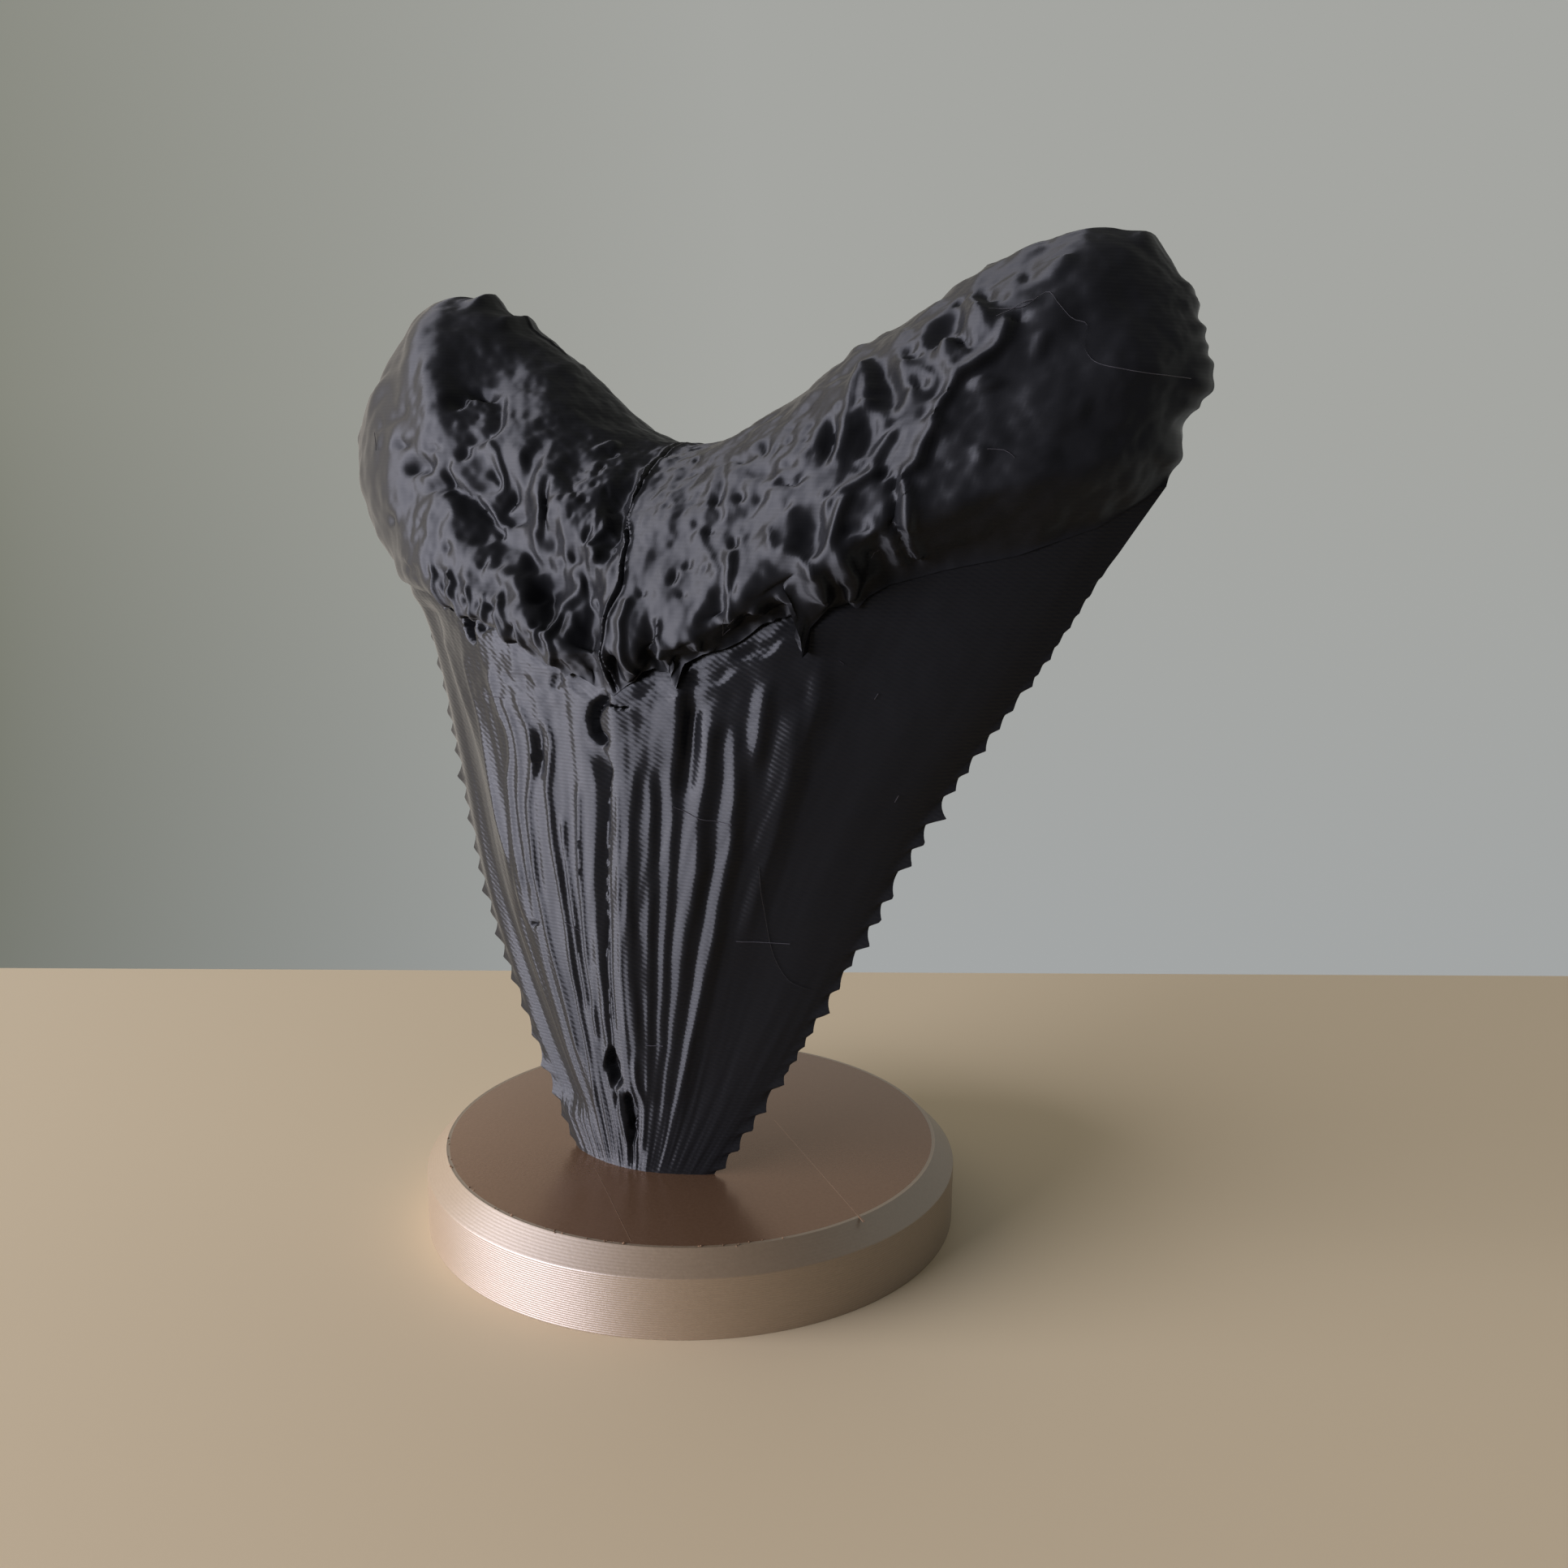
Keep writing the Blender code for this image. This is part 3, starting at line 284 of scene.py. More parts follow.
# Low soft swellings: (X, Z, half length, half width, turn, height)
ROOT_SWELLS = [
    (-4, 62.1, 0.7, 0.75, 0, 0.6), (-4, 58.8, 0.5, 0.55, 0, 0.5), (-6.4, 71.4, 0.8, 0.5, 0, 0.4),
    (-6.8, 62.3, 0.5, 0.5, 0, 0.35), (-7.6, 66.6, 1.4, 0.9, 0, 0.3), (16.3, 60.4, 0.9, 1.3, 0, 0.6),
    (26.9, 80.6, 1.3, 1.3, 0, 0.5), (28.4, 76.1, 1.1, 0.55, -8, 0.5), (28.3, 70.6, 0.8, 0.5, -50, 0.35),
    (23.4, 62.7, 0.5, 0.3, 20, 0.5), (25.3, 72.4, 0.8, 0.5, 0, 0.35), (19.3, 70.1, 0.5, 0.3, 0, 0.4),
    (18.3, 73.8, 0.35, 0.45, 0, 0.4), (19.2, 74.7, 0.6, 0.35, 0, 0.4), (13.6, 58.6, 0.4, 0.22, -50, 0.4),
    (11.6, 57.8, 0.45, 0.4, 0, 0.45), (7.4, 54.6, 0.4, 0.35, 0, 0.45), (31.9, 78.7, 1.2, 0.6, 80, 0.35),
    (35.3, 74.3, 0.9, 0.55, 80, 0.3), (32.3, 84.9, 1.1, 0.8, 20, 0.35),
]
# Places that are smoother than the rest: (X, Z, half length, half width, turn)
CALM = [(-21, 79, 9, 4.5, -42), (-15.5, 68, 6.5, 3.2, -45), (-7.2, 59.5, 7, 3.2, -45)]
# Places with many small pits: (X, Z, half length, half width, turn, depth)
PITTED = [
    (-5.8, 66.8, 4.6, 2.6, 95, 0.2), (3.8, 66.8, 5.5, 3.2, 80, 0.12), (13.1, 72.4, 3, 2, 60, 0.12),
    (26.6, 81.1, 4, 2.5, 40, 0.2), (-19.5, 72.5, 5, 3.5, 70, 0.14), (-9, 55.5, 4.5, 2.2, -20, 0.16),
]
SMALL_PIT = (0.8, 51)  # size, seed
SMALL_PIT_WALL = (0.25, 0.55)  # the noise's values at a pit's brim and floor
CALM_SHARE = 0.8  # how much of the grit the calm places lose
GRIT_LEFT = (-30, -22)  # X between which grit comes in
GRIT_RIGHT = (24, 30, 0.25)  # X between which this share of it goes again
GRIT_LEAST = 0.15  # the share that is left where there is least
FOLD_WIDE = 1.2  # a fold's half width, over the one given
FOLD_LEAN = 0.65  # how much wider its left side is, and narrower its right
# How outlines wander: (size of a wave, how far, seed)
HOLLOW_WANDER = [(2.2, 0.4, 61), (0.9, 0.16, 63)]
GROOVE_WANDER = [(2.6, 0.2, 65), (1, 0.05, 67)]
# Raised folds, creases below zero: (path, height, half width)
ROOT_FOLDS = [
    ([(-21.2, 60.6), (-20.7, 59.4), (-20.4, 58.2), (-20, 57.2)], 0.45, 0.22),
    ([(-18.8, 60.2), (-18.4, 58.8), (-17.8, 57.4), (-17.3, 56)], 0.45, 0.22),
    ([(-16.4, 59), (-15.9, 57.8), (-15.5, 56.7)], 0.4, 0.2),
    ([(-14.4, 58.4), (-14, 57.4), (-13.8, 56.5)], 0.4, 0.2),
    ([(-12.4, 57), (-11.9, 56), (-11.5, 54.6)], 0.4, 0.2),
    ([(-10.6, 56.2), (-10, 55.2), (-9.6, 53.6)], 0.4, 0.2),
    ([(-20.2, 67.5), (-18.6, 67.3), (-17.6, 66.5), (-16.6, 65.7), (-15.4, 64.8),
      (-14.6, 64.4)], -1, 0.38),
    ([(-17.8, 67.5), (-16.6, 67.9), (-15.5, 68.1), (-15.4, 68.8), (-16, 69.4)], -0.6, 0.35),
    ([(-18.7, 72.1), (-17.6, 72.3), (-16.7, 73), (-16.4, 74), (-16.8, 74.9), (-17.3, 76)], -0.6, 0.55),
    ([(-16.9, 71.6), (-15.6, 70.4), (-15, 68.9), (-15.6, 67.2)], 0.4, 0.5),
    ([(-10.4, 60.4), (-9, 60.8), (-7.5, 61), (-6, 60.7), (-5.1, 60.2), (-5.8, 59.5),
      (-7, 58.4)], 0.6, 0.5),
    ([(-4.5, 63), (-3.6, 64), (-3.2, 64.7)], 0.4, 0.25),
    ([(-3.4, 65.4), (-3.1, 64.6), (-2.4, 63.9)], 0.4, 0.25), ([(-4.3, 62.9), (-2.2, 62.8)], 0.3, 0.22),
    ([(-7, 57.3), (-6.9, 56), (-6.6, 55), (-6.3, 54.2), (-6.9, 53.2)], 0.5, 0.3),
    ([(-8, 56), (-7.8, 54.5), (-7.3, 53.1)], 0.4, 0.3),
    ([(-12.8, 58.4), (-12, 57.4), (-11.3, 56.2), (-11.5, 55)], 0.4, 0.35),
    ([(-18.4, 57.4), (-17.5, 56.8), (-16, 56.8), (-14.6, 57.1), (-13.4, 56.4), (-12.2, 55.8),
      (-11.2, 55.2), (-10, 54.8)], 0.35, 0.3),
    ([(-19.2, 59.6), (-18.9, 58.6), (-18.4, 58.3), (-18.2, 59.2), (-18.6, 60)], 0.3, 0.28),
    ([(0.5, 58.6), (0.45, 56), (0.6, 54.2), (1, 53), (0.6, 52.2)], 0.5, 0.35),
    ([(6, 69.8), (6.9, 68.5), (7.3, 66.8), (7.7, 65.7), (7.1, 65.2)], -0.3, 0.4),
    ([(6.3, 64), (6.6, 63.2), (7.6, 62.3), (8.2, 61.7), (8.5, 61)], 0.35, 0.35),
    ([(6.9, 64.6), (9, 65.2), (10.5, 66.2), (11.2, 67)], -0.25, 0.4),
    ([(9.4, 62.5), (9.6, 61), (9.5, 59.5), (9.8, 58.3), (10, 57.6)], 0.6, 0.4),
    ([(3.4, 57), (3.4, 55.6), (4.6, 55.2), (5.9, 55.9), (6.8, 56), (6.8, 55.2)], 0.45, 0.3),
    ([(3.1, 54.1), (4.2, 54.3), (4.6, 53.5), (4.5, 51.4)], 0.5, 0.28),
    ([(12.2, 64.6), (12.7, 63.8), (13.3, 63.1)], 0.35, 0.25),
    ([(14.1, 63), (14.9, 62.7), (15.6, 62.3), (16.3, 61.5)], 0.6, 0.3),
    ([(14, 66.2), (14.9, 66.6), (16.6, 66.9), (17.6, 68)], 0.3, 0.35),
    ([(16.9, 59.6), (16.4, 58.6), (15.8, 57.8), (14.6, 57), (14.2, 56.5), (14.6, 56),
      (14.8, 54.6)], 0.7, 0.35),
    ([(16.3, 74.2), (16.9, 73), (17.25, 72), (17.3, 70.4)], 0.5, 0.35),
    ([(17.5, 77.4), (17.6, 73.8), (18, 72), (17.9, 70.3)], 0.5, 0.35),
    ([(17.8, 78), (18.3, 77), (18.9, 75.6)], 0.5, 0.35),
    ([(29.6, 80.3), (28.9, 78.6), (27.4, 77.5), (26.3, 76.5), (25.6, 75.2), (25, 74), (24.7, 72.5),
      (24.2, 71), (24, 69.8), (23, 69), (23.1, 68.2), (23.7, 67.3), (23.8, 66), (23.4, 64.8),
      (23.2, 63.5)], 0.85, 0.42),
    ([(24.8, 74.1), (23.8, 73.4), (22, 73.3), (21.2, 72.6), (20.6, 72)], -0.4, 0.3),
    ([(22.3, 72), (21.5, 70.8), (20.9, 69.8), (20.4, 69.2)], -0.25, 0.35),
    ([(20.8, 69.6), (19.8, 68.6), (18.5, 67.8), (17.6, 67), (17.1, 65.7), (17, 64.9)], 0.5, 0.35),
    ([(18.9, 67), (18.3, 65.8), (18.1, 64.6), (18.2, 63.6), (18.7, 62.6), (19, 61.5), (18.8, 60.6),
      (18.4, 59.4)], 0.8, 0.42),
    ([(20.9, 65.4), (21.1, 64.8), (20.8, 64.2)], 0.4, 0.28),
    ([(21.2, 77.6), (22.4, 77.4), (23.8, 76.8), (24.6, 76.2)], 0.4, 0.4),
    ([(24.6, 79), (25.3, 77.8), (25.8, 76.8)], 0.5, 0.45),
    ([(25.5, 82.6), (26.6, 81.8), (27.8, 80.9), (28.3, 79.9)], 0.4, 0.4),
    ([(-30.5, 84.8), (-26.7, 81.5), (-24.4, 78.4), (-22.8, 74.5)], 0.55, 2.2),
    ([(-31, 73.4), (-29, 73.6), (-27.2, 74.2)], -0.3, 0.4),
]
GROOVE = [
    (-2, 71.5), (-1.7, 68.5), (-1.6, 66), (-1, 64), (-0.7, 61.5), (-0.5, 60), (-1.1, 58.5), (-1.4, 56),
    (-1.7, 54), (-1.4, 52.5), (-1, 51),
]
GROOVE_DEPTH = 0.45
GROOVE_HALF = 0.13
LIP_OFFSET = 0.28  # the groove's raised lips lie this far from it
LIP_HEIGHT = 0.12
LIP_HALF = 0.15

# Knobs that break the rim of the root: (X, Z, radius, height)
RIM_KNOBS = [
    (-25, 85.4, 0.9, 0.9), (-21.2, 83.4, 0.8, 0.75), (-18, 81.6, 0.7, 0.2), (-14.2, 79, 0.7, 0.2),
    (-36.3, 77.8, 1.2, -0.35), (-38.4, 72.2, 0.9, 0.3), (-38.2, 69.8, 0.6, -0.3), (-37.6, 67.5, 1, 0.3),
    (14.6, 79.6, 0.9, 0.55), (16.6, 80.9, 0.7, 0.35), (22.6, 84.5, 1.2, 0.4), (25, 85.9, 0.6, 0.25),
    (29, 88, 0.8, 0.2), (37.6, 87.9, 1.1, 0.5), (41, 83.9, 0.6, 0.3), (41.6, 82.8, 0.7, 0.5),
    (42.4, 80.7, 0.5, 0.35), (42.9, 79.3, 0.4, 0.25), (43.1, 77.9, 0.6, 0.35), (42.9, 76.2, 0.7, 0.5),
    (42.3, 74.7, 0.4, 0.2), (41.9, 73.1, 0.6, -0.45), (41.2, 70.7, 0.9, 0.55),
]

# Lumpy ground: (size of a lump, height, seed)
ROOT_LUMPS = [(9, 0.4, 11), (4.6, 0.3, 12), (2.3, 0.1, 16)]
ROOT_GRIT = [(2.4, 0.13, 13), (1.2, 0.1, 14), (0.6, 0.05, 15)]
BACK_GROWTH = 2.2  # how much higher the back's lumps grow away from its rim
BACK_GROWS = (2, 8)  # between these distances from the rim
BACK_START = 0.15  # share of the rows over which they come in above the hem
NOISE_GAIN = 1.6  # brings smooth noise to about -1 to 1
LUMP_GAIN = 1.6  # how much lumps stand out of it
LUMP_CREASE = 0.01  # how soft the crease between two lumps is
LUMP_SINK = 0.5  # lowers them, so that they add no bulk
RIM_CALM = 0.7  # relief on the rim, as a share of the rest
RIM_WIDTH = 3.5
HEM_CALM = (0.05, 0.25)  # share of the rows with calmer relief, and how much is left

# Grids
CROWDS = [(1, 0.55), (2, 0.07)]  # columns crowd round the middle: (how much, half width)
RIM_CROWD = (1.5, 0.06)  # and at the rims
CROWD_STEPS = 4001
ROW_CROWD = 1.1  # rows of the root crowd towards its hem
CROWN_COLUMNS = 253
CROWN_ROWS = 268
TUCK_ROWS = 16
ROOT_COLUMNS = 403
ROOT_ROWS = 166
BACK_STEP = 3  # the back has every third column


def knots_of(points):
    """How far apart the points of a curve are, evened out a little."""
    return np.linalg.norm(np.diff(points, axis=0), axis=1) ** KNOT_POWER


def spline(points, where):
    """Smooth curve through points, at `where` from 0 (start) to 1 (end)."""
    p = np.asarray(points, float)
    knots = np.concatenate([[0.0], np.cumsum(knots_of(p))])
    knots /= knots[-1]
    slope = np.gradient(p, knots, axis=0)
    where = np.asarray(where, float)
    i = np.clip(np.searchsorted(knots, where, side="right") - 1, 0, len(p) - 2)
    span = (knots[i + 1] - knots[i])[:, None]
    x = (where - knots[i])[:, None] / span
    start = (2 * x**3 - 3 * x**2 + 1) * p[i] + (x**3 - 2 * x**2 + x) * span * slope[i]
    end = (3 * x**2 - 2 * x**3) * p[i + 1] + (x**3 - x**2) * span * slope[i + 1]
    return start + end


def traced(points, count):
    """The smooth curve as `count` points."""
    return spline(points, np.linspace(0, 1, count))


def to_middle(where, points, middle):
    """Shift `where` smoothly so that 0.5 falls on the point number `middle`."""
    steps = knots_of(np.asarray(points, float))
    share = steps[:middle].sum() / steps.sum()
    return where + (share - 0.5) * 4 * where * (1 - where)


def patch(bottom, top, left, right, u, v):
    """Grid of points that fills the four curves round it."""
    u = u[None, :, None]
    v = v[:, None, None]
    sides = (1 - u) * left[:, None] + u * right[:, None]
    ends = (1 - v) * bottom[None] + v * top[None]
    corners = (1 - v) * ((1 - u) * bottom[0] + u * bottom[-1])
    corners = corners + v * ((1 - u) * top[0] + u * top[-1])
    return sides + ends - corners


def ease(low, high, x):
    """0 below low, 1 above high, smooth between."""
    x = np.clip((x - low) / (high - low), 0, 1)
    return x * x * (3 - 2 * x)


def bell(distance, half):
    return np.exp(-(distance / half) ** 2)


def nearest(plane, path):
    """From each point: how far a path is, how far to the right of it, and on which side."""
    flat = plane.reshape(-1, 2)
    best = np.full(len(flat), np.inf)
    aside = np.zeros(len(flat))
    side = np.ones(len(flat))
    for a, b in zip(path[:-1], path[1:]):
        a = np.asarray(a, float)
        run = np.asarray(b, float) - a
        along = np.clip((flat - a) @ run / (run @ run), 0, 1)
        off = flat - a - along[:, None] * run
        square = (off**2).sum(axis=1)
        nearer = square < best
        aside = np.where(nearer, off[:, 0], aside)
        side = np.where(nearer, np.sign(run[0] * off[:, 1] - run[1] * off[:, 0]), side)
        best = np.minimum(best, square)
    return (part.reshape(plane.shape[:-1]) for part in (np.sqrt(best), aside, side))


def path_distance(plane, path):
    """Distance of each point to a path, below zero to the left of one that runs down."""
    far, _, side = nearest(plane, path)
    return far * side


def fold(plane, path, half):
    """A fold along a path: its left side falls away gently, its right side steeply."""
    far, aside, _ = nearest(plane, traced(path, 6 * len(path)))
    return bell(far, half * (FOLD_WIDE - FOLD_LEAN * aside / np.maximum(far, 1e-6)))


def lump_noise(points, seed):
    """Smooth noise, about -1 to 1, with lumps one unit across."""
    cell = np.floor(points).astype(np.int64)
    f = points - cell
    fade = f * f * f * (f * (f * 6 - 15) + 10)
    total = np.zeros(points.shape[:-1])
    for corner in np.ndindex(2, 2, 2):
        c = cell + corner
        code = (c[..., 0] * 73856093) ^ (c[..., 1] * 19349663) ^ (c[..., 2] * 83492791)
        code = (code + seed * 9176) & 0xFFFFFF
        code = (code * 1103515245 + 12345) & 0x7FFFFFFF
        code = ((code >> 9) * 2654435761) & 0x7FFFFFFF
        turn = (code & 0xFFF) / 4096.0 * 2 * np.pi
        lift = ((code >> 12) & 0xFFF) / 2048.0 - 1.0
        flat = np.sqrt(1 - lift**2)
        slope = np.stack([flat * np.cos(turn), flat * np.sin(turn), lift], axis=-1)
        weight = np.prod(np.where(np.array(corner) == 1, fade, 1 - fade), axis=-1)
        total += weight * (slope * (f - corner)).sum(axis=-1)
    return NOISE_GAIN * total


def lumps(points, layers):
    """Lumps of several sizes, rounded on top and creased where they meet."""
    height = np.zeros(points.shape[:-1])
    for size, tall, seed in layers:
        n = lump_noise(points / size, seed)
        height += tall * (LUMP_GAIN * np.sqrt(n * n + LUMP_CREASE) - LUMP_SINK)
    return height


def grit(points, layers):
    """Plain uneven ground."""
    return sum(tall * lump_noise(points / size, seed) for size, tall, seed in layers)


def within(plane, x, z, long, wide, turn):
    """How far each point is from the middle of an oval, 1 at its outline, and to the right."""
    c, s = math.cos(math.radians(turn)), math.sin(math.radians(turn))
    dx = plane[..., 0] - x
    dz = plane[..., 1] - z
    far = np.hypot((dx * c + dz * s) / long, (dz * c - dx * s) / wide)
    return far, np.clip(dx / np.hypot(long * c, wide * s), -1, 1)


def oval(plane, *place):
    """1 in the middle of an oval place, 0 outside it, with a steep wall."""
    return 1 - ease(*OVAL_SLOPE, within(plane, *place)[0])


def dent(plane, *place):
    """An oval hollow: a slope that falls to the right, then a steep wall up again."""
    far, aside = within(plane, *place)
    return (1 - ease(*HOLLOW_SLOPE, far)) * (1 + SKEW * aside)


def wander(plane, points, layers):
    """The same places, shifted a little to and fro so that outlines turn irregular."""
    moved = plane.copy()
    for size, far, seed in layers:
        for axis in (0, 1):
            moved[..., axis] += far * lump_noise(points / size, seed + axis)
    return moved


def rounding(inside, width):
    """Quarter-round from the rim inward."""
    return np.sqrt(1 - (1 - np.clip(inside / width, 0, 1)) ** 2)


def facing(sheet):
    """Unit normals of a grid of points, on its front (-Y) side."""
    n = np.cross(np.gradient(sheet, axis=1), np.gradient(sheet, axis=0))
    return n / np.maximum(np.linalg.norm(n, axis=-1, keepdims=True), 1e-9)


def in_space(plane, depth):
    edge_y = EDGE_Y + LEAN * (plane[..., 1] - DISC_HEIGHT)
    return np.stack([plane[..., 0], edge_y + depth, plane[..., 1]], axis=-1)


def columns(count, middle_crowd):
    """Places across, crowded towards the two rims and towards the middle."""
    even = np.linspace(-1, 1, CROWD_STEPS)
    crowd = 1 + middle_crowd * sum(much * bell(even, half) for much, half in CROWDS)
    crowd += RIM_CROWD[0] * bell(np.abs(even) - 1, RIM_CROWD[1])
    share = np.cumsum(crowd)
    share = (share - share[0]) / (share[-1] - share[0])
    across = np.interp(np.linspace(0, 1, count), share, even)
    return (across - across[::-1]) / 2


def gum_points(across):
    """The gum line's points, from the left edge (-1) to the right one (1)."""
    u = 0.5 + 0.5 * across
    return spline(GUM_LINE, to_middle(u, GUM_LINE, GUM_MIDDLE))


def crown_depths(across, z):
    """How far the crown's front and back stand off its edges; z is on the midline."""
    rib = np.interp(z, *zip(*MIDRIB))
    full = 1 - across**2
    return rib * full ** FRONT_CURVE, BACK_SHARE * rib * full ** BACK_CURVE


def off_edges(across, power=EDGE_FADE):
    """1 across most of the tooth, 0 at its edges."""
    return 1 - across**power


# ------------------------------------------------------------ the crown

def crown_plane(across):
    """(X, Z) of the crown's grid, and of the rows that run up inside the root."""
    u = 0.5 + 0.5 * across
    v = np.linspace(0, 1, CROWN_ROWS)
    left = spline(LEFT_EDGE, v)
    right = spline(RIGHT_EDGE, v)
    cut = np.outer(1 - u, left[0]) + np.outer(u, right[0])
    plane = patch(cut, gum_points(across), left, right, u, v)
    up = plane[-1] - plane[-4]
    up /= np.linalg.norm(up, axis=1, keepdims=True)
    far = np.linspace(0, TUCK, TUCK_ROWS + 1)[1:, None, None]
    more = plane[-1] + far * (off_edges(across) + TUCK_LEAST)[None, :, None] * up
    return np.vstack([plane, more])


def streak(plane, path, height, half):
    """A ridge or valley that follows a path down the crown."""
    line = (traced(path, 40) if len(path) > 2 else np.array(path))[::-1]
    x, z = plane[..., 0], plane[..., 1]
    off = (x - np.interp(z, line[:, 1], line[:, 0])) / half
    if height > 0:
        off = np.where(off < 0, off / STEEP_SIDE, off)
    low, high = line[0, 1], line[-1, 1]
    ends = ease(low - STREAK_ENDS / 2, low + STREAK_ENDS, z)
    ends = ends * (1 - ease(high - STREAK_ENDS, high + STREAK_ENDS / 2, z))
    return height * np.exp(-off**2) * ends


def pleat_relief(plane):
    """Folds in the enamel: straight flanks between lines that run down the crown."""
    x, z = plane[..., 0], plane[..., 1]
    total = np.zeros(z.shape)
    length, far, seed = PLEAT_WANDER
    x = x + far * lump_noise(np.stack([PLEAT_TOGETHER * x, 0 * x, z / length], -1), seed)
    for rows, rise, width in CROWN_PLEATS:
        heights, left, right = np.array(rows[::-1]).T
        low, high = heights[0], heights[-1]
        start, crest = np.interp(z, heights, left), np.interp(z, heights, right)
        ends = ease(low - PLEAT_PAST, low + PLEAT_ENDS[0], z)
        ends = ends * (1 - ease(high - PLEAT_ENDS[1], high + PLEAT_PAST, z))
        tall = rise * (crest - start) / (right - left).max()
        height = 0.0
        for shift in (-PLEAT_SOFT, 0.0, PLEAT_SOFT):
            at = x + shift
            up = np.clip((at - start) / (crest - start), 0, 1)
            height += up * np.clip((crest + width - at) / width, 0, 1) / 3
        total += tall * height * ends
    return total


def crown_relief(plane, across, points):
    """How far the crown's front rises over its plain form."""
    x, z = plane[..., 0], plane[..., 1]
    relief = pleat_relief(plane)
    for path, height, half in CROWN_STREAKS:
        relief += streak(plane, path, height, half)
    rough_plane = wander(plane, points, HOLLOW_WANDER)
    for *place, depth in CROWN_HOLLOWS:
        relief -= depth * oval(rough_plane, *place)
    relief -= PIT_DEPTH * bell(path_distance(plane, PIT_PATH), PIT_HALF)
    fan = np.stack([THREAD_FAN * across + 0 * z, 0 * x, THREAD_STRETCH * z], -1)
    middle, half = THREAD_MIDDLE
    shown = THREAD_FAINT + (1 - THREAD_FAINT) * bell(across - middle, half)
    relief += grit(fan, THREADS) * shown
    relief += grit(points, NECK_GRIT) * ease(*NECK, z) * bell(across, NECK_HALF)
    return relief * ease(*(DISC_HEIGHT + over for over in DISC_CLEAR), z)


def serration(z, points):
    """Hooked points up an edge, each with a short side below and a long one above."""
    out = np.zeros(z.shape)
    for height, reach in points:
        under = 1 + (z - height) / POINT_UNDER
        over = np.clip(1 - (z - height) / POINT_OVER, 0, 1) ** 2
        out = np.maximum(out, reach * np.where(z < height, under, over))
    low, high = points[0][0], points[-1][0]
    between = ease(low - POINT_OVER, low, z) * (1 - ease(high, high + POINT_OVER, z))
    return out - POINT_SINK * between


def build_crown():
    across = columns(CROWN_COLUMNS, middle_crowd=0.3)
    plane = crown_plane(across)
    above = np.clip(np.arange(len(plane)) - CROWN_ROWS + 1, 0, None)[:, None] / TUCK_ROWS
    shape = 1 - TUCK_SLIM * above
    depths = crown_depths(across, plane[:, CROWN_COLUMNS // 2, 1][:, None])
    front, back = (in_space(plane, way * depth * shape) for way, depth in zip((-1, 1), depths))
    free = off_edges(across, RELIEF_EDGE) * (1 - ease(*RELIEF_TUCK, above))
    front += facing(front) * (crown_relief(plane, across, front) * free)[..., None]
    ground = CROWN_BACK_ROUGH * grit(back * np.array(CROWN_BACK_STRETCH), CROWN_BACK_GRIT)
    back -= facing(back) * (ground * free)[..., None]
    for column, points, outward in ((0, LEFT_POINTS, -1), (-1, RIGHT_POINTS, 1)):
        from_edge = np.abs(plane[..., 0] - plane[:, [column], 0])
        near = (1 - ease(0.0, POINT_ROOT, from_edge)) ** 2
        tooth = serration(plane[:, [column], 1], points)
        middle, half = POINT_BODY
        thick = POINT_THICK * tooth * bell(from_edge - middle, half) * off_edges(across, POINT_FADE)
        front[..., 1] -= thick
        back[..., 1] += thick
        for sheet in (front, back):
            sheet[..., 0] += outward * near * tooth
    return closed_sheets(front, back[:, ::BACK_STEP], joined_top=False)


# ------------------------------------------------------------- the root

def root_plane(across, hem):
    """Heights from 0 to 1, and (X, Z), of the root's grid above a hem."""
    u = 0.5 + 0.5 * across
    v = np.sin(np.linspace(0, 1, ROOT_ROWS) ** ROW_CROWD * math.pi / 2)
    gum = gum_points(across)
    top = spline(ROOT_TOP, to_middle(u, ROOT_TOP, TOP_MIDDLE))
    plane = patch(gum, top, spline(LEFT_LOBE, v), spline(RIGHT_LOBE, v), u, v)
    drop = np.interp(gum[:, 0], *zip(*hem)) - gum[:, 1]
    risen = np.linalg.norm(plane - gum, axis=-1)
    hang = (1 - np.clip(risen / HEM_REACH, 0, 1)) ** 2
    plane[..., 1] += drop * hang
    return v, plane


def rim_distance(plane):
    """How far each point of the root is from its outer rim."""
    rim = np.vstack([traced(LEFT_LOBE, 24), traced(ROOT_TOP, 200)[1:-1], traced(RIGHT_LOBE, 24)[::-1]])
    inside = np.abs(path_distance(plane, rim))
    for edge in (plane[-1:], plane[:, :1], plane[:, -1:]):
        inside = np.minimum(inside, np.linalg.norm(plane - edge, axis=-1))
    return inside


def groove_relief(plane):
    """The groove down the root, and its two lips."""
    off = path_distance(plane, traced(GROOVE, 50))
    relief = -GROOVE_DEPTH * bell(off, GROOVE_HALF)
    for lip in (-LIP_OFFSET, LIP_OFFSET):
        relief += LIP_HEIGHT * bell(off - lip, LIP_HALF)
    return relief


def worn(relief):
    """The relief with its sharpest creases worn down."""
    for axis in (0, 1):
        mean = (np.roll(relief, -1, axis) + 2 * relief + np.roll(relief, 1, axis)) / 4
        inner = tuple(slice(1, -1) if axis == a else slice(None) for a in (0, 1))
        relief[inner] = mean[inner]
    return relief


